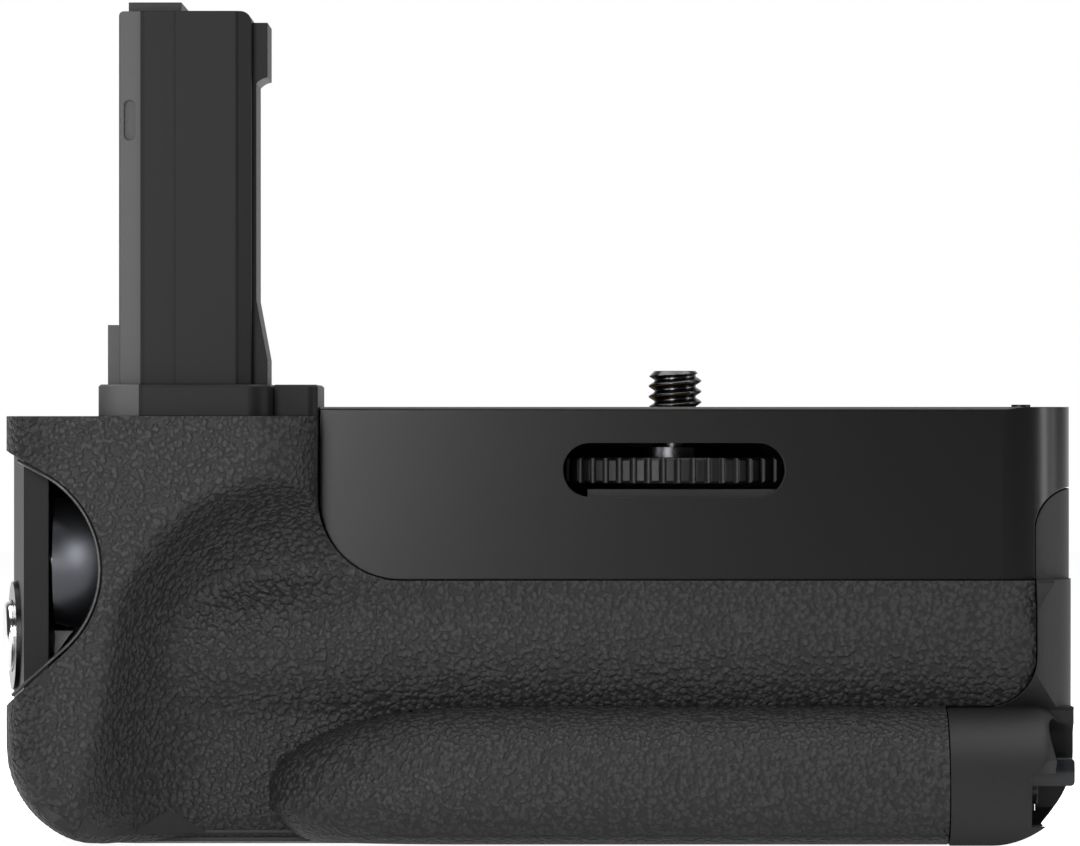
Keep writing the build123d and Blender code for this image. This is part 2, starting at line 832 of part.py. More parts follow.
def lock_wheel():
    """The knurled disc turned by the thumb, lightened by a dished underside."""
    top, low = -wheel_top_z, -wheel_top_z - wheel_thickness
    rim = rod_z(0, 0, low, top, wheel_radius)
    rim = chamfer(rim.edges().filter_by(GeomType.CIRCLE), wheel_edge)
    cutter = rod_z(0, 0, low - 1, top + 1, wheel_groove_radius)
    places = PolarLocations(wheel_radius + wheel_groove_shift, wheel_groove_count)
    rim = rim - [place * cutter for place in places]
    dish = rod_z(0, 0, -far, low + wheel_recess_depth, wheel_recess_radius)
    dish = dish - rod_z(0, 0, -far, far, screw_flange_radius)
    return rim - dish - rod_z(0, 0, -far, far, screw_radius - screw_relief)


def camera_screw():
    """The mounting screw with the flange that bears under the deck bush."""
    flange_top = -wheel_top_z + screw_flange_thickness
    thread = rod_z(0, 0, 0, screw_height, screw_radius)
    thread = chamfer(thread.edges().group_by(Axis.Z)[-1], screw_tip_chamfer)
    shank = rod_z(0, 0, -wheel_top_z - wheel_thickness, 0, screw_radius - screw_relief)
    return thread + shank + rod_z(0, 0, -wheel_top_z, flange_top, screw_flange_radius)


def screw_bush():
    """Brass bush in the deck, flanged on its underside, that guides the camera screw."""
    low = -deck_thickness - bush_flange_thickness
    body = rod_z(0, 0, low, 0, bush_radius) + rod_z(0, 0, low, -deck_thickness, bush_flange_radius)
    return body - rod_z(0, 0, -far, far, screw_radius + run_gap)


def base_plate():
    """Metal plate in the floor opening, proud by a little, with pockets for its foot and screws."""
    corners = [(-base_left + seam, -base_front + seam), (base_right - seam, -base_front + seam)]
    corners += [(base_right - seam, base_rear - seam), (-base_left + seam, base_rear - seam)]
    low = -body_height - base_proud
    plate = prism_z(corners, base_corner_radius - seam, low, -base_top_z - floor_thickness)
    plate = plate - rod_z(-socket_x, 0, -far, far, socket_outer_radius)
    plate = plate - rod_z(-socket_x, 0, low, low + socket_flange_thickness, socket_flange_radius)
    plate = plate - foot_outline(0, low, low + foot_thickness - foot_proud)
    for x, y in case_screw_places:
        plate = plate - rod_z(x, y, -far, far, case_screw_radius)
        plate = plate - rod_z(x, y, low, low + case_screw_head_height, case_screw_head_radius)
    return plate


def foot_outline(inset, z_low, z_high):
    """The outline of the rubber foot round the tripod socket."""
    x_left = (base_right - base_left) / 2 - foot_length / 2 + inset
    x_right = x_left + foot_length - 2 * inset
    y_half = foot_width / 2 - inset
    y_middle = (base_rear - base_front) / 2
    corners = [(x_left, y_middle - y_half), (x_right, y_middle - y_half)]
    corners += [(x_right, y_middle + y_half), (x_left, y_middle + y_half)]
    outline = prism_z(corners, base_corner_radius - inset, z_low, z_high)
    outline = outline - rod_z(-socket_x, 0, -far, far, socket_flange_radius + foot_socket_margin + inset)
    for x, y in case_screw_places:
        outline = outline - rod_z(x, y, -far, far, case_screw_head_radius + foot_screw_margin + inset)
    return outline


def tripod_socket():
    """Flanged insert with the tripod thread's bore, blind at its top."""
    low = -body_height - base_proud
    body = rod_z(-socket_x, 0, low, low + socket_flange_thickness, socket_flange_radius)
    body = body + rod_z(-socket_x, 0, low, low + socket_length + socket_cap, socket_outer_radius)
    return body - rod_z(-socket_x, 0, -far, low + socket_length, socket_radius)


def case_screws():
    """The screws that hold the base plate to the shells' bosses."""
    low = -body_height - base_proud
    screws = []
    for x, y in case_screw_places:
        head = rod_z(x, y, low, low + case_screw_head_height, case_screw_head_radius)
        reach, half = case_screw_head_radius, case_screw_slot_width / 2
        slot = block(x - reach, x + reach, y - half, y + half, low, low + case_screw_slot_depth)
        shank = rod_z(x, y, low, -base_top_z + case_screw_reach, case_screw_radius)
        screws.append(head + shank - slot)
    return Compound(children=screws)


def battery_liner():
    """The smooth sleeve that the tray slides in, closed at its far end."""
    outer = block(liner_left, liner_right, liner_front, liner_rear, -base_top_z, liner_top)
    inner = block(
        liner_left + liner_wall,
        far,
        liner_front + liner_wall,
        liner_rear - liner_wall,
        -base_top_z + liner_wall,
        liner_top - liner_wall,
    )
    return outer - inner


def contact_rows(x_left, x_right, width):
    """A set of four blades or pads for each pack."""
    pieces = []
    half_height = contact_height / 2 - contact_end_margin
    for z in contact_levels():
        for step in range(contact_count_per_pack):
            y = tray_middle_y + (step - (contact_count_per_pack - 1) / 2) * contact_pitch
            low, high = z - half_height, z + half_height
            pieces.append(block(x_left, x_right, y - width / 2, y + width / 2, low, high))
    return Compound(children=pieces)


def main_board():
    """The circuit board on its posts, with its main chips and the two key domes as raised blocks."""
    back = board_front_y + board_thickness
    board = block(-board_left, -board_right, board_front_y, back, -board_bottom, -board_top)
    for place in chip_places:
        x, front = -board_left + place, board_front_y - chip_height
        board = board + block(x, x + chip_size, front, board_front_y, -chip_low_z, -chip_low_z + chip_size)
    for z in (focus_z, lock_z):
        board = board + rod_y(-button_x, back, back + key_dome_height, -z, key_dome_radius)
    return board


def plug_cable():
    """The flat cable from the plug's contacts down to the board."""
    low = -board_top - cable_drop
    left, right = -plug_centre_x - cable_width / 2, -plug_centre_x + cable_width / 2
    drop = block(left, right, cable_y, cable_y + cable_thickness, low, contact_block_low)
    return drop + block(left, right, cable_y, board_front_y, low, low + cable_thickness)


def left_end_panel():
    """The carrier at the left end: the ledge beside the dial and the slanted seat of the release."""
    slant_x = ledge_left_x + (ledge_y - end_slant_rear) * slant_slope
    corners = [(-ledge_right_x, -ledge_y), (-ledge_left_x, -ledge_y), (-slant_x, -end_slant_rear)]
    corners += [(-slant_x, end_panel_rear), (-ledge_right_x, end_panel_rear)]
    panel = prism_z(corners, 0, -far, far) & recess_space(0, -far, far)
    panel = panel - rod_x(-ledge_right_x - dial_axle_seat, far, -dial_y, -dial_z, dial_axle_radius)
    ring_room = Pos(0, 0, well_depth / 2 - ring_depth) * Cylinder(ring_radius + slide_gap, well_depth)
    stem_room = Cylinder(release_stem_radius + slide_gap, well_depth)
    switch_room = Pos(0, 0, switch_top - well_depth / 2) * Cylinder(switch_radius, well_depth)
    return panel - release_frame * ring_room - release_frame * stem_room - release_frame * switch_room


def power_ring():
    """The on and off ring round the release button, with a small finger tab."""
    height = ring_depth + ring_proud - slide_gap
    ring = Cylinder(ring_radius, height) - Cylinder(ring_bore_radius, height + 1)
    tab = Box(ring_tab_length, ring_tab_width, ring_tab_height)
    tab = Pos(ring_radius - ring_tab_inset, 0, (height - ring_tab_height) / 2) * tab
    return release_frame * Pos(0, 0, ring_proud - height / 2) * (ring + (tab & Cylinder(ring_radius, far)))


def release_button():
    """The domed release button with its stem."""
    cap = Cylinder(release_radius, release_cap_thickness)
    cap = fillet(cap.edges().group_by(Axis.Z)[-1], release_cap_edge)
    cap = Pos(0, 0, ring_proud + release_proud - release_cap_thickness / 2) * cap
    low = ring_proud + release_proud - release_cap_thickness
    stem_end = switch_top + release_travel + seam
    stem = Pos(0, 0, (low + stem_end) / 2) * Cylinder(release_stem_radius, low - stem_end)
    return release_frame * (cap + stem)


def front_dial():
    """The smooth crowned command dial on its axle."""
    x_left, x_right, x_middle = -dial_left_x, -dial_right_x, -(dial_left_x + dial_right_x) / 2
    edge, bore = dial_radius - dial_crown, dial_axle_radius + run_gap
    crown = ThreePointArc((x_right, edge), (x_middle, dial_radius), (x_left, edge))
    sides = Polyline((x_left, edge), (x_left, bore), (x_right, bore), (x_right, edge))
    return Pos(0, -dial_y, -dial_z) * revolve(make_face(sides + crown), Axis.X)


def rear_dial():
    """The ribbed command dial at the back."""
    x_left, x_right = -rear_dial_x - rear_dial_width / 2, -rear_dial_x + rear_dial_width / 2
    disc = rod_x(x_left, x_right, 0, 0, rear_dial_radius)
    disc = disc - rod_x(-far, far, 0, 0, rear_axle_radius + run_gap)
    cutter = rod_x(-far, far, rear_dial_radius + rear_rib_shift, 0, rear_rib_radius)
    cutters = [Rot(360 / rear_rib_count * step, 0, 0) * cutter for step in range(rear_rib_count)]
    return Pos(0, rear_dial_y, -rear_dial_z) * (disc - cutters)


def rear_button(z):
    """A round push button with a flange inside the wall."""
    top = rear_depth + button_proud
    flange_top = hollow_rear - slide_gap
    flange_low = flange_top - button_flange_thickness
    cap = rod_y(-button_x, flange_low, top, -z, button_radius)
    cap = chamfer(cap.edges().group_by(Axis.Y)[-1], button_edge)
    return cap + rod_y(-button_x, flange_low, flange_top, -z, button_flange_radius)


def focus_lever():
    """The flat ring lever round the focus button, with a finger arm."""
    low = rear_depth - lever_thickness + lever_proud
    ring = rod_y(-button_x, low, low + lever_thickness, -focus_z, lever_radius)
    arm = block(
        -button_x - lever_arm_width / 2,
        -button_x + lever_arm_width / 2,
        low,
        low + lever_thickness,
        -focus_z,
        -focus_z + lever_radius + lever_arm_length,
    )
    arm = fillet(arm.edges().filter_by(Axis.Y), lever_corner_radius)
    return ring + arm - rod_y(-button_x, -far, far, -focus_z, button_radius + slide_gap)


def rear_grip():
    """The rubber rest along the lower back."""
    low, left, right = -body_height + rear_grip_foot, -rear_grip_left, -rear_grip_right
    top = low + rear_grip_height
    corners = [(left, low), (right, low), (right, top), (left, top)]
    pad = prism_y(corners, rear_grip_corner_radius, rear_depth, rear_depth + rear_grip_rise)
    return chamfer(pad.edges().group_by(Axis.Y)[-1], rear_grip_edge)


def latch_knob():
    """The quarter-turn knob: a disc with a raised finger bar and a shaft through the door."""
    disc = rod_x(latch_recess_x + run_gap, latch_recess_x + latch_disc_thickness, 0, 0, latch_disc_radius)
    bar = block(
        latch_recess_x + run_gap,
        latch_bar_x,
        -latch_disc_radius,
        latch_disc_radius,
        -latch_bar_thickness / 2,
        latch_bar_thickness / 2,
    )
    bar = fillet(bar.edges().filter_by(Axis.Y).group_by(Axis.X)[-1], latch_bar_edge)
    bar = bar & rod_x(-far, far, 0, 0, latch_disc_radius)
    shaft = rod_x(cam_left, latch_recess_x + run_gap, 0, 0, latch_shaft_radius)
    return Pos(0, -latch_y, -latch_z) * (disc + bar + shaft)


def latch_cam():
    """The cam arm on the latch shaft inside the door."""
    arm = block(cam_left, cam_left + cam_thickness, 0, cam_length, -cam_width / 2, cam_width / 2)
    arm = fillet(arm.edges().filter_by(Axis.X), cam_corner_radius)
    arm = arm + rod_x(cam_left, cam_left + cam_thickness, 0, 0, cam_width / 2 + cam_hub_wall)
    return Pos(0, -latch_y, -latch_z) * (arm - rod_x(-far, far, 0, 0, latch_shaft_radius))


def keeper():
    """The steel catch that stands out of the fixed end of the bulge, behind the latch cam."""
    x, y_front, y_back = door_bulge_x - seam, -latch_y - keeper_width / 2, -latch_y + keeper_width / 2
    half, foot_half, foot_back = keeper_height / 2, keeper_foot_height / 2, y_back + keeper_foot_lap
    foot_right = x + keeper_foot_thickness
    foot = block(x, foot_right, y_front, foot_back, -latch_z - foot_half, -latch_z + foot_half)
    return foot + block(x, x + keeper_length, y_front, y_back, -latch_z - half, -latch_z + half)


def plug_section(inset):
    """The plug's stepped outline from above: light rib, two front faces and the catch channel."""
    left, right = -plug_left + inset, -plug_right - inset
    front, back = -plug_front + inset, -plug_front + plug_depth - inset
    rib_right = -plug_left + rib_width + inset
    corners = [
        (left, front + rib_setback),
        (rib_right, front + rib_setback),
        (rib_right, front + face_step),
        (-face_step_x + inset, front + face_step),
        (-face_step_x + inset, front),
        (right - front_corner_run, front),
        (right, front + front_corner_run),
        (right, back),
        (left, back),
    ]
    rear = plug_rear_radius - inset if inset == 0 else 0
    return profile(corners, [plug_rib_radius, 0, 0, 0, 0, plug_front_radius, plug_front_radius, rear, rear])


def plug_solid(inset, z_low, z_high):
    """The plug's outline pushed up to its rounded top."""
    column = extrude(Plane.XY.offset(z_low) * plug_section(inset), amount=z_high - z_low)
    left, right = -plug_left + inset, -plug_right - inset
    corners = [(left, z_low), (right, z_low), (right, z_high), (left, z_high)]
    crown = prism_y(corners, [0, 0, plug_corner_radius, plug_front_radius], -far, far)
    return column & crown


def plug_shell():
    """The hollow plug before it is parted into its two covers."""
    room = plug_solid(plug_wall, flange_top - 1, plug_top - plug_wall)
    return plug_solid(0, flange_top, plug_top) - room - contact_block_form(seam)


def rib_slot():
    """The small round-ended window in the light rib at the plug's front left edge."""
    x, half = -plug_left + rib_width / 2, rib_slot_width / 2
    corners = [(x - half, rib_slot_low), (x + half, rib_slot_low)]
    corners += [(x + half, rib_slot_high), (x - half, rib_slot_high)]
    return prism_y(corners, half - round_margin, -far, -plug_front + rib_setback + rib_slot_depth)


def contact_block_form(gap):
    """The insulating block that carries the contacts through the plug's top."""
    y = -plug_front + plug_depth / 2
    top = contact_block_top + (far if gap else 0)
    return block(
        -contact_block_left - gap,
        -contact_block_right + gap,
        y - contact_block_depth / 2 - gap,
        y + contact_block_depth / 2 + gap,
        contact_block_low,
        top,
    )


def contact_block():
    """The contact block with a flange inside that holds it under the plug's top."""
    y = -plug_front + plug_depth / 2
    top = plug_top - plug_wall
    flange = block(
        -plug_left + plug_wall + run_gap,
        -contact_block_right + contact_flange_reach,
        y - contact_block_depth / 2 - contact_flange_lap,
        y + contact_block_depth / 2 + contact_flange_lap,
        contact_block_low,
        top - run_gap,
    )
    body = contact_block_form(0) + flange
    for pin in pins():
        body = body - pin
    return body


def pins():
    """The contact blades, each set flush in the top of the contact block."""
    left, right = -contact_block_left + pin_inset, -contact_block_right - pin_inset
    middle = -plug_front + plug_depth / 2
    blades = []
    for step in range(contact_count):
        y = middle + (step - (contact_count - 1) / 2) * pin_pitch
        low = contact_block_top - pin_depth
        blades.append(block(left, right, y - pin_width / 2, y + pin_width / 2, low, contact_block_top))
    return blades


def plug_catch():
    """The side catch: a hook at the top, a thin web and the flared foot on the flange."""
    x_in, x_web, x_out = -plug_right, -plug_right + catch_web, -plug_right + catch_width
    y_mid = -plug_front + plug_depth / 2 - catch_shift
    y_front, y_back = y_mid - catch_depth / 2, y_mid + catch_depth / 2
    hook = block(x_in, x_out, y_front, y_back, catch_low - catch_scoop, plug_top - plug_corner_radius)
    hook = hook - rod_y(x_out + catch_scoop_lead, -far, far, catch_low - catch_scoop, catch_scoop)
    web = block(x_in, x_web, y_front, y_back, flange_top, catch_low)
    foot = block(x_in, x_out, y_front, y_back, flange_top, flare_high)
    slope_corners = [(x_web, flare_high), (x_out + 1, flare_high), (x_out + 1, flare_low), (x_out, flare_low)]
    slope = prism_y(slope_corners, 0, -far, far)
    return hook + web + (foot - slope)


def plug_flange():
    """The block at the foot of the plug, with a shoulder on its left side."""
    corners = [(-flange_left, -flange_front), (-flange_right, -flange_front)]
    corners += [(-flange_right, flange_rear), (-flange_left, flange_rear)]
    body = prism_z(corners, flange_radius, deck_top, flange_top)
    tab_front = -plug_front + plug_tab_setback
    tab = block(-plug_tab_left, -plug_left, tab_front, tab_front + plug_tab_depth, flange_top, plug_tab_top)
    hole = block(
        -plug_centre_x - cable_width / 2 - free_gap,
        -plug_centre_x + cable_width / 2 + free_gap,
        cable_y - cable_room_depth,
        cable_y + cable_thickness + free_gap,
        -far,
        flange_top + round_margin,
    )
    body = chamfer(body.edges().group_by(Axis.Z)[-1], flange_edge)
    return body + tab - hole


def step_block():
    """The smaller block beside the flange, which fills the camera's door opening."""
    right = -plate_left - seam
    corners = [(-flange_right, -step_front), (right, -step_front)]
    corners += [(right, step_rear), (-flange_right, step_rear)]
    body = prism_z(corners, [0, step_radius, step_radius, 0], deck_top, flange_top)
    return chamfer(body.edges().group_by(Axis.Z)[-1], flange_edge)


def shell_front():
    """The front cover under the rubber, with its two screw bosses."""
    shell = (shell_form & front_half) - shell_cut
    shell = with_case_bosses(shell, [place for place in case_screw_places if place[1] < case_split_y])
    return shell - rod_x(-ledge_right_x, -dial_right_x + dial_axle_seat, -dial_y, -dial_z, dial_axle_radius)


# Fixed pieces
save("front_shell", shell_front())
save("front_grip", (outer_form & front_half) - shell_form - shell_cut)
save("rear_shell", rear_shell())
save("rear_grip", rear_grip())
save("upper_cover", upper_cover())
save("base_plate", base_plate())
foot_low = -body_height - base_proud - foot_proud
save("base_foot", foot_outline(seam, foot_low, foot_low + foot_thickness))
save("tripod_socket", tripod_socket())
save("case_screws", case_screws())
save("screw_bush", screw_bush())
save("locating_bump", rod_z(bump_x, 0, -bump_height, bump_height, bump_radius))
save("battery_liner", battery_liner())
blade_right = tray_left - pad_thickness - slide_gap
save("battery_contacts", contact_rows(liner_left + liner_wall, blade_right, contact_width))
save("main_board", main_board())
save("plug_cable", plug_cable())
save("left_end_panel", left_end_panel())
switch = Pos(0, 0, switch_top - switch_height / 2) * Cylinder(switch_radius, switch_height)
save("release_switch", release_frame * switch)
axle_left, axle_right = -ledge_right_x - dial_axle_seat, -dial_right_x + dial_axle_seat
save("front_dial_axle", rod_x(axle_left, axle_right, -dial_y, -dial_z, dial_axle_radius))
axle_reach = rear_dial_width / 2 + free_gap + rear_axle_seat
axle_left, axle_right = -rear_dial_x - axle_reach, -rear_dial_x + axle_reach
save("rear_dial_axle", rod_x(axle_left, axle_right, rear_dial_y, -rear_dial_z, rear_axle_radius))
save("hinge_pin", hinge_pin_bar(hinge_pin_radius))
save("latch_keeper", keeper())
plug = plug_shell()
plug_front_half = plug & block(-far, far, -far, -plug_split, -far, far)
save("plug_front_cover", plug_front_half - rib_slot())
save("plug_rear_cover", plug & block(-far, far, -plug_split, far, -far, far))
save("plug_catch", plug_catch())
save("plug_flange", plug_flange())
save("step_block", step_block())
save("contact_block", contact_block())
save("contact_pins", Compound(children=pins()))

# Moving pieces
save("camera_screw", camera_screw())
save("lock_wheel", lock_wheel())
save("front_dial", front_dial())
save("rear_dial", rear_dial())
save("power_ring", power_ring())
save("release_button", release_button())
save("focus_button", rear_button(focus_z))
save("lock_button", rear_button(lock_z))
save("focus_lever", focus_lever())
save("battery_door", battery_door())
save("latch_knob", latch_knob())
save("latch_cam", latch_cam())
save("battery_tray", battery_tray())
save("tray_contacts", contact_rows(tray_left - pad_thickness, tray_left, pad_width))
for number, level in enumerate(contact_levels()):
    save(f"battery_pack_{number + 1}", battery_pack(level))
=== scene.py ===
from math import atan, cos, pi, radians, sin, sqrt

import bmesh
import bpy
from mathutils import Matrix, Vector


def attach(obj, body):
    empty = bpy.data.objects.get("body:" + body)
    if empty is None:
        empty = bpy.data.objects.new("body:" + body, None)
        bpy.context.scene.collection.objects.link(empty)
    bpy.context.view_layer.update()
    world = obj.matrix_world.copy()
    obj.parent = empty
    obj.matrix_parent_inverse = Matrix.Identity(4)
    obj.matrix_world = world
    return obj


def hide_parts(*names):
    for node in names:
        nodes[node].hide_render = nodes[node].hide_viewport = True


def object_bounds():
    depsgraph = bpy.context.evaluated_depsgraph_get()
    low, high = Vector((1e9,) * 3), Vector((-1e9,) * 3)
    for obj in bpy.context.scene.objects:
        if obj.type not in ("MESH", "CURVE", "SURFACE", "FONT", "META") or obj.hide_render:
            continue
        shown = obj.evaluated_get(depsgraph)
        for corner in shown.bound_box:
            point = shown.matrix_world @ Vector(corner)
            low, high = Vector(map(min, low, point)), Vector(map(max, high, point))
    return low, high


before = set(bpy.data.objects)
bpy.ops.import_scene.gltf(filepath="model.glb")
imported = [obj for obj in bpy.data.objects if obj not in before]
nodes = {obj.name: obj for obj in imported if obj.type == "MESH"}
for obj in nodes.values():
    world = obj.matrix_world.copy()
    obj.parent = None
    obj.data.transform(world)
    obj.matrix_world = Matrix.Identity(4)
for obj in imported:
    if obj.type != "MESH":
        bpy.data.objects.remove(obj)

mm = 0.001
cad_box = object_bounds()


# Camera, in front of the grip and level with its top edge, on a long lens.
# The lens covers 129.6 mm across the 1080 pixels at the screw's axis, 900 mm away.
camera_distance = 900 * mm
frame_width = 129.6 * mm
frame_middle_x, frame_middle_z = -16.2 * mm, -1.9 * mm
sensor_width = 36
camera_data = bpy.data.cameras.new("camera")
camera_data.sensor_width = sensor_width
camera_data.lens = sensor_width * camera_distance / frame_width
camera = bpy.data.objects.new("camera", camera_data)
camera.location = (frame_middle_x, -camera_distance, frame_middle_z)
camera.rotation_euler = (radians(90), 0, 0)
bpy.context.scene.collection.objects.link(camera)
bpy.context.scene.camera = camera
bpy.context.scene.view_settings.view_transform = "Standard"


# White paper sweep: matt paper that lies under the grip and runs up behind it. The camera sees it
# white. Gloss mirrors it white only behind the grip, and elsewhere as dim as the lamps leave it,
# with a faint even room light all round.
def colour(hex_code):
    """A linear colour from an sRGB hex code."""
    channels = [int(hex_code[i:i + 2], 16) / 255 for i in (0, 2, 4)]
    return tuple(c / 12.92 if c <= 0.04045 else ((c + 0.055) / 1.055) ** 2.4 for c in channels) + (1,)


def add(tree, kind, settings=None, **links):
    """Adds one shader node, with its settings and its inputs, which are values or other nodes' outputs."""
    shader_node = tree.nodes.new(kind)
    for name, value in (settings or {}).items():
        setattr(shader_node, name, value)
    for name, value in links.items():
        socket = shader_node.inputs[int(name[1:]) if name[1:].isdigit() else name.replace("_", " ")]
        if isinstance(value, bpy.types.NodeSocket):
            tree.links.new(value, socket)
        else:
            socket.default_value = value
    return shader_node


def blank(name):
    """A material with an empty node tree and its output."""
    material = bpy.data.materials.new(name)
    material.use_nodes = True
    material.node_tree.nodes.clear()
    return material, material.node_tree


def backdrop_rays(tree, coordinates, begins, full):
    """How far a ray sees the white sweep: fully from the camera, and in gloss or through glass the
    more, the further Y runs from begins to full."""
    path = add(tree, "ShaderNodeLightPath").outputs
    spot = add(tree, "ShaderNodeSeparateXYZ", Vector=add(tree, "ShaderNodeTexCoord").outputs[coordinates])
    behind = add(tree, "ShaderNodeMapRange", Value=spot.outputs["Y"], From_Min=begins, From_Max=full)
    mirror = add(
        tree, "ShaderNodeMath", {"operation": "MAXIMUM"},
        i0=path["Is Glossy Ray"], i1=path["Is Transmission Ray"],
    )
    mirrored = add(
        tree, "ShaderNodeMath", {"operation": "MULTIPLY"}, i0=mirror.outputs[0], i1=behind.outputs[0]
    )
    seen = add(
        tree, "ShaderNodeMath", {"operation": "MAXIMUM"}, i0=path["Is Camera Ray"], i1=mirrored.outputs[0]
    )
    return seen.outputs[0]


white = colour("ffffff")
floor_size = 4.0
floor_gap = 0.05 * mm
paper_glow = 0.93
sweep_begins, sweep_full = -0.10, 0.05
paper, tree = blank("white_paper")
shade = add(tree, "ShaderNodeBsdfDiffuse", Color=colour("e8e8e8"))
glow = add(tree, "ShaderNodeEmission", Color=white, Strength=paper_glow)
lit = add(tree, "ShaderNodeAddShader", i0=shade.outputs[0], i1=glow.outputs[0])
seen_rays = backdrop_rays(tree, "Object", sweep_begins, sweep_full)
mixed = add(tree, "ShaderNodeMixShader", i0=seen_rays, i1=shade.outputs[0], i2=lit.outputs[0])
add(tree, "ShaderNodeOutputMaterial", Surface=mixed.outputs[0])
half = floor_size / 2
floor_z = cad_box[0][2] - floor_gap
floor_mesh = bpy.data.meshes.new("floor")
floor_mesh.from_pydata(
    [(-half, -half, floor_z), (half, -half, floor_z), (half, half, floor_z), (-half, half, floor_z)],
    [], [(0, 1, 2, 3)],
)
floor_mesh.materials.append(paper)
floor = bpy.data.objects.new("floor", floor_mesh)
bpy.context.scene.collection.objects.link(floor)

room_strength, backdrop_strength = 0.05, 1.0
backdrop_begins, backdrop_full = 0.6, 0.95
world = bpy.data.worlds.new("white_room")
bpy.context.scene.world = world
world.use_nodes = True
tree = world.node_tree
tree.nodes.clear()
room = add(tree, "ShaderNodeBackground", Color=white, Strength=room_strength)
backdrop = add(tree, "ShaderNodeBackground", Color=white, Strength=backdrop_strength)
seen_rays = backdrop_rays(tree, "Generated", backdrop_begins, backdrop_full)
mixed = add(tree, "ShaderNodeMixShader", i0=seen_rays, i1=room.outputs[0], i2=backdrop.outputs[0])
add(tree, "ShaderNodeOutputWorld", Surface=mixed.outputs[0])


# Lamps: two wide softboxes overhead, in front of the grip and behind it, two small ones at the
# left, and two tall strips far out at the right that draw the highlight on the rounded end.
def softbox(name, place, target, width, height, watts):
    """A rectangular softbox that points at a place on the object."""
    lamp_data = bpy.data.lights.new(name, "AREA")
    lamp_data.shape = "RECTANGLE"
    lamp_data.size = width
    lamp_data.size_y = height
    lamp_data.energy = watts
    lamp = bpy.data.objects.new(name, lamp_data)
    lamp.location = place
    lamp.rotation_euler = (Vector(target) - Vector(place)).to_track_quat("-Z", "Y").to_euler()
    bpy.context.scene.collection.objects.link(lamp)


grip_middle = (-0.02, 0, 0)
finger_recess = (-0.03, -0.01, -0.02)
pod_face = (-0.06, -0.01, -0.03)
right_end = (0.04, 0, -0.02)
softbox("overhead_softbox", (-0.05, -0.16, 0.60), grip_middle, width=0.8, height=0.35, watts=3.0)
softbox("back_softbox", (-0.02, 0.15, 0.55), grip_middle, width=0.8, height=0.25, watts=2.7)
softbox("left_softbox", (-0.10, -0.30, 0.05), finger_recess, width=0.08, height=0.16, watts=0.60)
softbox("low_left_softbox", (-0.30, -0.30, -0.03), pod_face, width=0.12, height=0.08, watts=0.36)
softbox("right_strip", (0.42, 0.03, 0.0), right_end, width=0.08, height=0.4, watts=0.22)
softbox("right_front_strip", (0.40, -0.10, 0.0), right_end, width=0.06, height=0.4, watts=0.75)


# Satin upper cover and rear shell: glass-filled polycarbonate, moulded in a lightly spark-eroded
# tool, which leaves a fine even satin. The cover is clipped over the top and carries the screw.
# Such a grain is about 0.05 mm, too fine to show, so it is drawn at 0.25 mm.
# Painted light and shade: a band of its own colour across one axis of a part stands for the light and
# shade that fall there.
def painted_light_band(tree, place, axis, low_mm, high_mm, inside, outside):
    """A colour painted between two planes across one axis of the part, as painted light and shade."""
    level = add(tree, "ShaderNodeSeparateXYZ", Vector=place.outputs["Object"]).outputs[axis]
    above = add(tree, "ShaderNodeMath", {"operation": "GREATER_THAN"}, i0=level, i1=low_mm * mm)
    below = add(tree, "ShaderNodeMath", {"operation": "LESS_THAN"}, i0=level, i1=high_mm * mm)
    both = add(tree, "ShaderNodeMath", {"operation": "MULTIPLY"}, i0=above.outputs[0], i1=below.outputs[0])
    return add(
        tree, "ShaderNodeMix", {"data_type": "RGBA"}, Factor=both.outputs[0], i6=outside, i7=inside
    ).outputs[2]


edge_radius = 0.18 * mm


def satin_plastic(name, hex_code, roughness, grain_mm, depth_mm, painted_light_bands=(), gloss=0.3):
    """A moulded plastic with a fine even grain, slightly rounded edges, and any bands of painted light and
    shade.
    """
    material, tree = blank(name)
    place = add(tree, "ShaderNodeTexCoord")
    grain = add(
        tree, "ShaderNodeTexNoise",
        Vector=place.outputs["Object"], Scale=1 / (grain_mm * mm), Detail=2.0, Roughness=0.6,
    )
    edge = add(tree, "ShaderNodeBevel", {"samples": 4}, Radius=edge_radius)
    bump = add(
        tree, "ShaderNodeBump", Strength=1.0, Distance=depth_mm * mm,
        Height=grain.outputs["Fac"], Normal=edge.outputs["Normal"],
    )
    tone = colour(hex_code)
    # Bands of painted light and shade laid over the moulded colour.
    for axis, low_mm, high_mm, painted_hex in painted_light_bands:
        tone = painted_light_band(tree, place, axis, low_mm, high_mm, colour(painted_hex), tone)
    surface = add(
        tree, "ShaderNodeBsdfPrincipled",
        Base_Color=tone, Roughness=roughness, IOR=1.5, Specular_IOR_Level=gloss,
        Normal=bump.outputs["Normal"],
    )
    add(tree, "ShaderNodeOutputMaterial", Surface=surface.outputs[0])
    return material


def finish_nodes(material, *names):
    """Gives CAD nodes their material."""
    for name in names:
        mesh = nodes[name].data
        mesh.materials.clear()
        mesh.materials.append(material)


cover_satin = satin_plastic(
    "satin_polycarbonate", "0d0d0e", roughness=0.28, grain_mm=0.25, depth_mm=0.003
)
finish_nodes(cover_satin, "upper_cover", "rear_shell", "locating_bump")
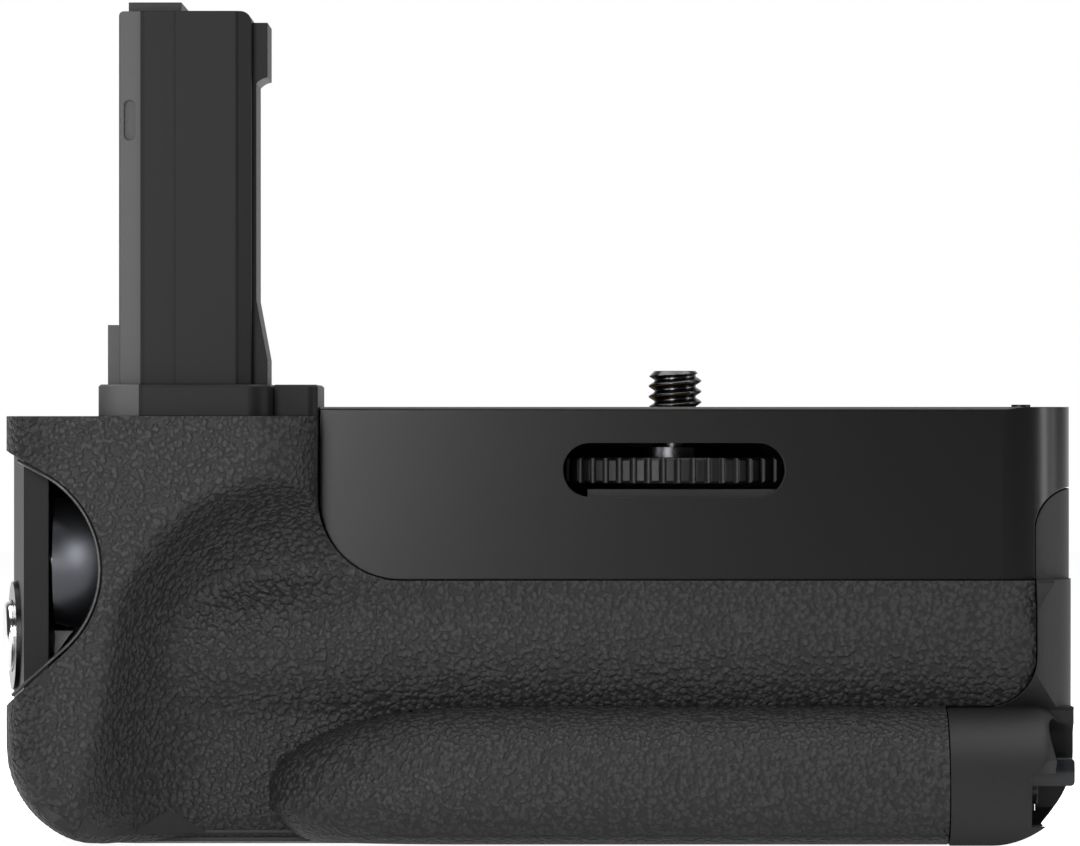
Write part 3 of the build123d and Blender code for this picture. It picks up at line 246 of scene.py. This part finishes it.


# Rubber grip: a pebble-grained elastomer skin a millimetre thick, bonded over the front shell.
# Its front is one flowing surface: the pod at the left falls into the finger recess, a low swell
# under the satin cover rolls back into a crease, and the lower bulge stands out for the fingers.
# The grain is short wrinkles under a millimetre long, with narrow grooves between them that are
# painted darker as painted shade.
def pebbled_rubber(name, hex_code, groove_shade_hex, cell_mm, depth_mm):
    """Grained rubber: small rounded wrinkles that run into each other, with painted shade in the grooves.
    """
    material, tree = blank(name)
    place = add(tree, "ShaderNodeTexCoord")
    cell = cell_mm * mm
    wander_size, wander_reach = cell / 0.7, 1.1 * cell
    fine_size, fine_share = cell / 2.2, 0.45
    wander = add(
        tree, "ShaderNodeTexNoise", Vector=place.outputs["Object"], Scale=1 / wander_size, Detail=2.0
    )
    push = add(
        tree, "ShaderNodeVectorMath", {"operation": "MULTIPLY_ADD"},
        i0=wander.outputs["Color"], i1=(wander_reach,) * 3, i2=place.outputs["Object"],
    )
    cells = add(
        tree, "ShaderNodeTexVoronoi", {"feature": "SMOOTH_F1"},
        Vector=push.outputs[0], Scale=1 / cell, Smoothness=0.35, Randomness=1.0,
    )
    pebble = add(
        tree, "ShaderNodeMapRange", {"interpolation_type": "SMOOTHSTEP"},
        Value=cells.outputs["Distance"], From_Min=0.25, From_Max=0.75, To_Min=1.0, To_Max=0.0,
    )
    fine = add(tree, "ShaderNodeTexNoise", Vector=place.outputs["Object"], Scale=1 / fine_size, Detail=2.0)
    height = add(
        tree, "ShaderNodeMath", {"operation": "MULTIPLY_ADD"},
        i0=fine.outputs["Fac"], i1=fine_share, i2=pebble.outputs[0],
    )
    bump = add(tree, "ShaderNodeBump", Strength=1.0, Distance=depth_mm * mm, Height=height.outputs[0])
    # The grooves between the pebbles are painted darker: painted shade.
    groove_shade_tint = add(
        tree, "ShaderNodeMix", {"data_type": "RGBA"},
        Factor=pebble.outputs[0], i6=colour(groove_shade_hex), i7=colour(hex_code),
    )
    surface = add(
        tree, "ShaderNodeBsdfPrincipled",
        Base_Color=groove_shade_tint.outputs[2], Roughness=0.5, IOR=1.5, Specular_IOR_Level=0.22,
        Normal=bump.outputs["Normal"],
    )
    add(tree, "ShaderNodeOutputMaterial", Surface=surface.outputs[0])
    return material


grip_rubber = pebbled_rubber("grip_rubber", "2c2c2c", "1c1c1c", cell_mm=0.68, depth_mm=0.17)
finish_nodes(grip_rubber, "rear_grip")

grip_left = -78.6
grip_right = 46.6
grip_bottom = -51.2
grip_top = -1.1
plate_y = 17.6
pod_y = 29.5
pod_side_radius = 7.5
end_radius = 8.4
foot_radius = 4.0
corner_left_radius = 11.8
corner_right_radius = 10.6
arc_x, arc_z, arc_radius = -44.0, -30.0, 22.0
arc_foot_lean = 4.0
slope_run = 14.0
slope_power = 2.4
crest_blend = 1.2
swell_mid_z = -27.8
swell_top = 2.8
swell_half = 7.9
bulge_mid_z = -45.3
bulge_half = 10.0
bulge_out = 10.9
bulge_nose_start = -24.0
bulge_nose = 24.0
crease_blend = 1.3
skin_mm = 1.0
seam_mm = 0.15
cover_left, cover_low, cover_radius = -42.1, -20.3, 9.5
pod_right_radius = 7.6
split_y = 4.0
grid_mm = 0.35
block_margin = 1
tool_depth = 60


def smooth_max(a, b, width):
    """The larger of two heights, with their crossing rounded over a width."""
    gap = abs(a - b)
    if gap >= width:
        return max(a, b)
    return max(a, b) + (width - gap) ** 2 / (4 * width)


def slope_height(x, z):
    """How far out the pod stands at a place: full inside its edge, falling through the slope."""
    if z < arc_z:
        lean = arc_foot_lean * (arc_z - z) / (arc_z - grip_bottom)
        inward = x - (arc_x - arc_radius - lean)
    else:
        inward = arc_radius - sqrt(min(x - arc_x, 0.0) ** 2 + (z - arc_z) ** 2)
    if inward <= -crest_blend:
        return pod_y
    if inward < crest_blend:
        inward = (inward + crest_blend) ** 2 / (4 * crest_blend)
    fallen = 1 - (1 - min(inward / slope_run, 1.0)) ** slope_power
    return pod_y - fallen * (pod_y - plate_y)


def swell_height(z):
    """The swell's round section over the plate's level, and how it sinks beyond its edges."""
    radius = (swell_half ** 2 + swell_top ** 2) / (2 * swell_top)
    off = abs(z - swell_mid_z)
    rise = sqrt(max(radius ** 2 - off ** 2, 0.0)) - (radius - swell_top)
    return plate_y + rise


def bulge_height(x, z):
    """The lower bulge's oval section, closed at the left by its long rounded nose."""
    along = min((x - bulge_nose_start) / bulge_nose, 0.0)
    inside = 1 - along ** 2 - ((z - bulge_mid_z) / bulge_half) ** 2
    return plate_y + bulge_out * sqrt(inside) if inside > 0 else 0.0


def edge_drop(distance, radius):
    """How far a rounded edge has turned back at a distance from the outline."""
    if distance >= radius:
        return 0.0
    return radius - sqrt(max(radius ** 2 - (radius - max(distance, 0.0)) ** 2, 0.0))


def grip_height(x, z):
    """How far the grip's face stands in front of the screw's axis."""
    pod = slope_height(x, z)
    if z > cover_low:
        pod = max(min(pod, pod_y - edge_drop(cover_left - seam_mm - x, pod_right_radius)), plate_y)
    height = smooth_max(pod, swell_height(z), crease_blend)
    height = smooth_max(height, bulge_height(x, z), crease_blend)
    corner_x, corner_z = grip_left + corner_left_radius, grip_bottom + corner_left_radius
    if x < corner_x and z < corner_z:
        from_edge = corner_left_radius - sqrt((x - corner_x) ** 2 + (z - corner_z) ** 2)
        turn = (corner_z - z) / (corner_z - z + corner_x - x)
        radius = pod_side_radius + (foot_radius - pod_side_radius) * turn
        height -= edge_drop(from_edge, radius)
    else:
        height -= edge_drop(x - grip_left, pod_side_radius) + edge_drop(z - grip_bottom, foot_radius)
    return height - edge_drop(grip_right - x, end_radius)


def steps(low, high, size):
    """Evenly spaced values from low to high."""
    count = max(int(round((high - low) / size)), 1)
    return [low + (high - low) * i / count for i in range(count + 1)]


def mesh_object(name, points, faces):
    """A mesh object from points in millimetres."""
    mesh = bpy.data.meshes.new(name)
    mesh.from_pydata([tuple(c * mm for c in point) for point in points], [], faces)
    thing = bpy.data.objects.new(name, mesh)
    bpy.context.scene.collection.objects.link(thing)
    return thing


def height_block(name, inset, size):
    """A closed block whose front follows the grip's face, drawn in by an inset."""
    columns = steps(grip_left - block_margin, grip_right + block_margin, size)
    rows = steps(grip_bottom - block_margin, grip_top + block_margin, size)
    across, up = len(columns), len(rows)
    points = [(x, -grip_height(x, z) + inset, z) for x in columns for z in rows]
    points += [(x, split_y + (tool_depth if inset else 0), z) for x in columns for z in rows]
    back = across * up
    faces = []
    for i in range(across - 1):
        for j in range(up - 1):
            a, b, c, d = i * up + j, (i + 1) * up + j, (i + 1) * up + j + 1, i * up + j + 1
            faces += [(a, b, c, d), (back + d, back + c, back + b, back + a)]
    rim = [i * up for i in range(across)] + [(across - 1) * up + j for j in range(1, up)]
    rim += [i * up + up - 1 for i in range(across - 2, -1, -1)] + [j for j in range(up - 2, 0, -1)]
    for k, a in enumerate(rim):
        b = rim[(k + 1) % len(rim)]
        faces.append((a, back + a, back + b, b))
    return mesh_object(name, points, faces)


def rounded(corners, radii, arc_steps=24):
    """A closed flat outline with each corner rounded by its own radius."""
    outline = []
    for k, (corner, radius) in enumerate(zip(corners, radii)):
        before = Vector(corners[k - 1]) - Vector(corner)
        after = Vector(corners[(k + 1) % len(corners)]) - Vector(corner)
        if radius == 0:
            outline.append(tuple(corner))
            continue
        before.normalize()
        after.normalize()
        half_angle = before.angle(after) / 2
        middle = (before + after).normalized()
        centre = Vector(corner) + middle * radius / sin(half_angle)
        reach = radius / sin(half_angle) * cos(half_angle)
        start = Vector(corner) + before * reach - centre
        end = Vector(corner) + after * reach - centre
        turn = start.angle_signed(end)
        for step in range(arc_steps + 1):
            share = turn * step / arc_steps
            outline.append((
                centre.x + start.x * cos(share) + start.y * sin(share),
                centre.y - start.x * sin(share) + start.y * cos(share),
            ))
    return outline


def prism(name, outline, front, back):
    """A flat outline, seen from the front, pushed along Y from one depth to another."""
    count = len(outline)
    points = [(x, depth, z) for depth in (front, back) for x, z in outline]
    faces = [tuple(range(count)), tuple(range(2 * count - 1, count - 1, -1))]
    for k in range(count):
        nxt = (k + 1) % count
        faces.append((k, count + k, count + nxt, nxt))
    thing = mesh_object(name, points, faces)
    tidy = bmesh.new()
    tidy.from_mesh(thing.data)
    bmesh.ops.recalc_face_normals(tidy, faces=tidy.faces)
    tidy.to_mesh(thing.data)
    tidy.free()
    return thing


def carve(thing, tool, operation="DIFFERENCE"):
    """Applies one boolean with a tool object, then throws the tool away."""
    modifier = thing.modifiers.new("carve", "BOOLEAN")
    modifier.operation = operation
    modifier.solver = "MANIFOLD"
    modifier.object = tool
    bpy.context.view_layer.update()
    result = bpy.data.meshes.new_from_object(thing.evaluated_get(bpy.context.evaluated_depsgraph_get()))
    thing.modifiers.clear()
    thing.data = result
    bpy.data.objects.remove(tool)


def set_smooth(thing, degrees):
    """Shades smooth, with edges sharper than an angle kept crisp."""
    mesh = thing.data
    for polygon in mesh.polygons:
        polygon.use_smooth = True
    edit = bmesh.new()
    edit.from_mesh(mesh)
    for edge in edit.edges:
        edge.smooth = len(edge.link_faces) == 2 and edge.calc_face_angle(0.0) < radians(degrees)
    edit.to_mesh(mesh)
    edit.free()


def body_outline(inset):
    """The grip's outline from the front, drawn in by an inset."""
    left, right, low = grip_left + inset, grip_right - inset, grip_bottom + inset
    return rounded(
        [(left, grip_top), (left, low), (right, low), (right, grip_top)],
        [0, corner_left_radius - inset, corner_right_radius - inset, 0],
    )


far = 90.0
inner_top_rise = 2
crisp_degrees = 40
door_x, door_top, door_corner, door_bulge, door_crease = 42.2, -9.6, 5.0, 31.6, -35.3
door_turn = 6.0
door_turn_parts = 24
door_step_y = -plate_y + 1.0 + seam_mm
recess_tip_x, recess_tip_z, recess_round = -57.3, -16.2, 12.8
recess_up, recess_down = 0.52, 0.88
tray_left, tray_foot, tray_head, tray_front = 36.0, -48.65, -36.0, -15.3

# The skin is the outer form less an inner one, which rises past the top so that it is open there.
skin = height_block("grip_skin", 0, grid_mm)
carve(skin, prism("outline_tool", body_outline(0), -far, far), "INTERSECT")
inner = height_block("inner_tool", skin_mm, 2 * grid_mm)
inner_outline = [(x, z + (inner_top_rise if z >= grip_top else 0)) for x, z in body_outline(skin_mm)]
carve(inner, prism("inner_outline_tool", inner_outline, -far, far), "INTERSECT")
carve(skin, inner)

# It is cut away round the satin cover, the battery door with its rounded lower corner, the dial's
# opening, and inside where the tray slides out.
cut_left, cut_low = cover_left - seam_mm, cover_low - seam_mm
cover_tool = rounded(
    [(cut_left, far), (cut_left, cut_low), (far, cut_low), (far, far)], [0, cover_radius + seam_mm, 0, 0]
)
carve(skin, prism("cover_tool", cover_tool, -far, far))
cut_left = door_x - seam_mm
door_tool = rounded(
    [(cut_left, door_top), (cut_left, -far), (far, -far), (far, door_top)], [door_corner, 0, 0, 0]
)
carve(skin, prism("door_tool", door_tool, -far, far))
cut_left, cut_top = door_bulge - seam_mm, door_crease + seam_mm
low_tool = [(cut_left, cut_top), (cut_left, -far), (far, -far), (far, cut_top)]
carve(skin, prism("low_door_tool", low_tool, -far, door_step_y))
turn_edge, turn_height = door_x - door_turn, door_crease + door_turn
reach = door_turn - seam_mm
turn_tool = [(door_x, door_crease), (door_x, turn_height)]
for angle in [radians(90 * part / door_turn_parts) for part in range(door_turn_parts + 1)]:
    turn_tool.append((turn_edge + reach * cos(angle), turn_height - reach * sin(angle)))
turn_tool.append((turn_edge, door_crease))
carve(skin, prism("turn_tool", turn_tool, -far, door_step_y))
run = far + recess_tip_x
recess_tool = rounded(
    [
        (-far, recess_tip_z + recess_up * run),
        (-far, recess_tip_z - recess_down * run),
        (recess_tip_x, recess_tip_z),
    ],
    [0, 0, recess_round],
)
carve(skin, prism("recess_tool", recess_tool, -far, far))
tray_way = [(tray_left, tray_foot), (far, tray_foot), (far, tray_head), (tray_left, tray_head)]
carve(skin, prism("tray_way", tray_way, tray_front, far))
set_smooth(skin, crisp_degrees)
skin.data.materials.clear()
skin.data.materials.append(grip_rubber)
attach(skin, "body")
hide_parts("front_grip")


# Dial opening's lip: a thin bead of polycarbonate, moulded on the shell, that stands in the cut of
# the rubber all along the opening. It is glossier than the cover and catches a thin line of light.
lip_radius = 0.2
lip_inset = 0.35
lip_sink = 0.35
lip_start_x = grip_left + 0.9
lip_arc_steps = 48
lip_straight_steps = 5
lip_crisp_degrees = 60
lip_tip_x = recess_tip_x - lip_inset / sin(atan(recess_up) / 2 + atan(recess_down) / 2)
lip_run = lip_tip_x - lip_start_x
upper_end = (lip_start_x, recess_tip_z + recess_up * lip_run)
lower_end = (lip_start_x, recess_tip_z - recess_down * lip_run)


def straight(start, end, count):
    """Points from start towards end, without the end itself."""
    shares = [step / count for step in range(count)]
    run_x, run_z = end[0] - start[0], end[1] - start[1]
    return [(start[0] + run_x * share, start[1] + run_z * share) for share in shares]


lip_corners = [upper_end, lower_end, (lip_tip_x, recess_tip_z)]
lip_arc = rounded(lip_corners, [0, 0, recess_round - lip_inset], lip_arc_steps)[2:]
lip_points = straight(lower_end, lip_arc[0], lip_straight_steps) + lip_arc[:-1]
lip_points += straight(lip_arc[-1], upper_end, lip_straight_steps)
lip_curve = bpy.data.curves.new("lip_path", "CURVE")
lip_curve.dimensions = "3D"
lip_curve.bevel_depth = lip_radius * mm
lip_curve.use_fill_caps = True
spline = lip_curve.splines.new("POLY")
spline.points.add(len(lip_points) - 1)
for point, (x, z) in zip(spline.points, lip_points):
    point.co = (x * mm, (lip_sink - grip_height(x, z)) * mm, z * mm, 1)
bead = bpy.data.objects.new("lip_path", lip_curve)
bpy.context.scene.collection.objects.link(bead)
bpy.context.view_layer.update()
bead_mesh = bpy.data.meshes.new_from_object(bead.evaluated_get(bpy.context.evaluated_depsgraph_get()))
bpy.data.objects.remove(bead)
lip = bpy.data.objects.new("dial_opening_lip", bead_mesh)
bpy.context.scene.collection.objects.link(lip)
set_smooth(lip, lip_crisp_degrees)
lip_satin = satin_plastic(
    "glossy_polycarbonate", "2c2c2d", roughness=0.25, grain_mm=0.2, depth_mm=0.002, gloss=0.5
)
lip.data.materials.clear()
lip.data.materials.append(lip_satin)
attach(lip, "body")


# Dial opening's web: a thin three-cornered wall of polycarbonate, moulded plain, that closes the
# corner of the opening under the dial. Its light grey is a painted highlight, where the opening's
# inner wall catches the light.
web_left, web_right, web_top, web_foot = -74.4, -71.3, -26.4, -30.6
web_front, web_back = -15.0, -14.0
web_corners = [(web_left, web_top), (web_right, web_top), (web_left, web_foot)]
web = prism("dial_opening_web", web_corners, web_front, web_back)
# The web's light grey is a painted highlight.
web_painted_highlight = satin_plastic("painted_highlight_grey", "8c8c8c", roughness=0.4, grain_mm=0.2, depth_mm=0.002)
web.data.materials.append(web_painted_highlight)
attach(web, "body")


# Inner mouldings: the front shell under the rubber, the battery chamber's liner and tray, the
# release switch's body and the contact block. They are polycarbonate, moulded in plain tools, and
# look an even dark grey. The shell's bosses take the case screws.
inner_polycarbonate = satin_plastic(
    "moulded_polycarbonate", "1d1d1e", roughness=0.5, grain_mm=0.3, depth_mm=0.004
)
finish_nodes(
    inner_polycarbonate, "front_shell", "battery_liner", "battery_tray", "release_switch", "contact_block"
)


# Base foot: a thin pad of matt rubber, moulded and bonded into its pocket in the base plate.
# It looks the same dark grey as the inner mouldings.
foot_rubber = satin_plastic("moulded_rubber", "1d1d1e", roughness=0.5, grain_mm=0.3, depth_mm=0.004)
finish_nodes(foot_rubber, "base_foot")


# Plug tower: two moulded halves of ABS joined along the side, with a catch, on a flange and beside
# its step block. A strip down the left side is painted a lighter grey, a painted highlight, and a
# narrow band next to it is painted dark, painted shade at its step.
# The cases of the two packs in the tray share this fine matt finish.
tower_left, highlight_strip_edge, shade_line_edge = -70.0, -62.95, -62.45
tower_abs = satin_plastic(
    "blasted_abs", "121213", roughness=0.5, grain_mm=0.2, depth_mm=0.006, gloss=0.15,
    # The light strip is a painted highlight and the dark band beside it is painted shade.
    painted_light_bands=[("X", tower_left, highlight_strip_edge, "4c4c4d"), ("X", highlight_strip_edge, shade_line_edge, "060606")],
)
finish_nodes(
    tower_abs, "plug_front_cover", "plug_rear_cover", "plug_catch", "plug_flange", "step_block",
    "battery_pack_1", "battery_pack_2",
)


# Battery door: ABS, moulded with a coarse texture that goes on from the rubber's grain and looks
# dull. It turns on a steel pin. Its upper part, at the satin cover's height, is painted a shade
# lighter as painted light.
door_abs = satin_plastic(
    "textured_abs", "141415", roughness=0.55, grain_mm=0.5, depth_mm=0.03,
    # The upper band is painted light, a shade lighter than the rest of the door.
    painted_light_bands=[("Z", cover_low, 0.0, "151516")],
)
finish_nodes(door_abs, "battery_door")


# End panel: a carrier of satin polycarbonate, moulded and let into the left end. It forms the ledge
# beside the dial and the slanted seat of the release button. Outside the ledge it is painted nearly
# black as painted shade, where its faces turn away from the light.
panel_shade_left, ledge_edge = -90.0, -76.45
panel_satin = satin_plastic(
    "dark_polycarbonate", "0d0d0e", roughness=0.45, grain_mm=0.2, depth_mm=0.004, gloss=0.12,
    # Left of the ledge the panel is painted shade, nearly black.
    painted_light_bands=[("X", panel_shade_left, ledge_edge, "050505")],
)
finish_nodes(panel_satin, "left_end_panel")


# Lock wheel and rear dial: hard rubber, moulded with a knurl of grooves for the thumb, which looks
# dull and nearly black. The wheel is fixed on the camera screw and the dial turns on a steel axle.
knurled_rubber = satin_plastic("knurled_rubber", "080809", roughness=0.42, grain_mm=0.4, depth_mm=0.002)
finish_nodes(knurled_rubber, "lock_wheel", "rear_dial")


# Buttons, lever and latch knob: ABS, moulded in a polished tool, so their faces have a soft gloss.
# The buttons and lever are at the back, and the knob is fixed on the door's steel latch cam.
gloss_abs = satin_plastic("polished_abs", "202124", roughness=0.22, grain_mm=0.4, depth_mm=0.001)
finish_nodes(gloss_abs, "focus_button", "lock_button", "focus_lever", "latch_knob")


# Front dial: aluminium, turned with a smooth crowned rim, blasted and anodised black, which leaves
# a soft grey sheen. It turns on a steel axle. The marks of the tool and the blasting are too fine to
# show on any of the metals, so a faint unevenness of 0.3 mm stands for them.
metal_grain_mm, metal_depth_mm = 0.3, 0.002


def metal(name, hex_code, roughness):
    """A turned or plated metal with a faint unevenness."""
    material, tree = blank(name)
    place = add(tree, "ShaderNodeTexCoord")
    grain = add(
        tree, "ShaderNodeTexNoise",
        Vector=place.outputs["Object"], Scale=1 / (metal_grain_mm * mm), Detail=2.0,
    )
    bump = add(
        tree, "ShaderNodeBump", Strength=1.0, Distance=metal_depth_mm * mm, Height=grain.outputs["Fac"]
    )
    surface = add(
        tree, "ShaderNodeBsdfPrincipled",
        Base_Color=colour(hex_code), Metallic=1.0, Roughness=roughness, Normal=bump.outputs["Normal"],
    )
    add(tree, "ShaderNodeOutputMaterial", Surface=surface.outputs[0])
    return material


finish_nodes(metal("black_anodised_aluminium", "46474b", roughness=0.42), "front_dial")


# Steel parts: the tripod socket, the case screws, the axles of the dials, the hinge pin, and the
# latch's cam and keeper. They are turned or milled and left bright.
steel = metal("turned_steel", "9a9a9a", roughness=0.3)
finish_nodes(
    steel, "tripod_socket", "case_screws", "front_dial_axle", "rear_dial_axle", "hinge_pin",
    "latch_keeper", "latch_cam",
)


# Camera screw: turned steel, black oxide finish, with a quarter-inch thread of 20 turns to the
# inch. It is captive: its thin shank and flange turn in the deck's brass bush. The power ring
# round the release button has the same dark finish.
thread_radius = 3.175
thread_root = 2.5
thread_pitch = 1.27
thread_top = 4.35
tip_chamfer = 0.7
shank_radius = 2.675
flange_radius = 6.0
flange_low, flange_high = -6.0, -4.8
shank_low, shank_high = -9.0, -0.1
run_out_slope = 2.5
flank_share, flat_share, root_round = 0.8, 0.12, 1.2
turn_steps = 72
thread_step = 0.06
merge_mm = 0.001
thread_crisp_degrees = 50


def thread_at(z, turn):
    """The thread's radius at a height and an angle, with a flat crest and rounded root."""
    phase = (z / thread_pitch - turn) % 1.0
    flank = min(abs(phase - 0.5) * 2 / flank_share, 1.0)
    crest = 1 - max(flank - flat_share, 0.0) / (1 - flat_share)
    radius = thread_root + (thread_radius - thread_root) * (1 - (1 - crest) ** root_round)
    radius = min(radius, thread_radius - max(z - (thread_top - tip_chamfer), 0.0))
    return min(radius, shank_radius + max(z - shank_high, 0.0) * run_out_slope)


rings = [(shank_low, 0.0), (shank_low, shank_radius), (flange_low, shank_radius)]
rings += [(flange_low, flange_radius), (flange_high, flange_radius), (flange_high, shank_radius)]
rings += [(shank_high, shank_radius)]
rings += [(z, None) for z in steps(0.0, thread_top, thread_step)] + [(thread_top, 0.0)]
points = []
for z, radius in rings:
    for k in range(turn_steps):
        turn = k / turn_steps
        r = thread_at(z, turn) if radius is None else radius
        points.append((r * cos(2 * pi * turn), r * sin(2 * pi * turn), z))
faces = []
for row in range(len(rings) - 1):
    for k in range(turn_steps):
        a, b = row * turn_steps + k, row * turn_steps + (k + 1) % turn_steps
        faces.append((a, b, b + turn_steps, a + turn_steps))
thread = mesh_object("camera_screw_threaded", points, faces)
clean = bmesh.new()
clean.from_mesh(thread.data)
bmesh.ops.remove_doubles(clean, verts=clean.verts, dist=merge_mm * mm)
bmesh.ops.recalc_face_normals(clean, faces=clean.faces)
clean.to_mesh(thread.data)
clean.free()
set_smooth(thread, thread_crisp_degrees)
black_steel = metal("black_oxide_steel", "48484a", roughness=0.25)
finish_nodes(black_steel, "power_ring")
thread.data.materials.append(black_steel)
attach(thread, "screw_and_wheel")
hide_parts("camera_screw")


# Screw bush: brass, turned and set in the deck round the camera screw, so that steel doesn't run on
# plastic. It looks a dull yellow.
finish_nodes(metal("turned_brass", "a08040", roughness=0.35), "screw_bush")


# Contacts: brass, stamped and gold plated, which looks a bright warm yellow. They are the pins in
# the plug's contact block, the blades in the battery chamber and the pads on the tray.
gold_plate = metal("gold_plate", "d8b050", roughness=0.3)
finish_nodes(gold_plate, "battery_contacts", "contact_pins", "tray_contacts")


# Plug cable: a flat cable of polyimide film under a dark cover coat, so it is a dull dark brown.
# It joins the plug's contacts to the main board.
cover_film = satin_plastic("polyimide_film", "1a1511", roughness=0.35, grain_mm=0.4, depth_mm=0.001)
finish_nodes(cover_film, "plug_cable")


# Release button: a small cap on a stem, chrome plated and polished bright, that presses straight
# in at the seat of the end panel.
finish_nodes(metal("polished_chrome", "d8d8d8", roughness=0.15), "release_button")


# Base plate: aluminium, finely blasted, so it is an even matt grey. Four case screws hold it to
# the bosses of the shells.
finish_nodes(metal("blasted_aluminium", "8a8a8e", roughness=0.5), "base_plate")


# Main board: glass-epoxy laminate under a green solder mask, with its chips raised as plain blocks.
# It stands on posts inside the grip.
solder_mask = satin_plastic("solder_mask", "1c4a2c", roughness=0.35, grain_mm=0.4, depth_mm=0.002)
finish_nodes(solder_mask, "main_board")
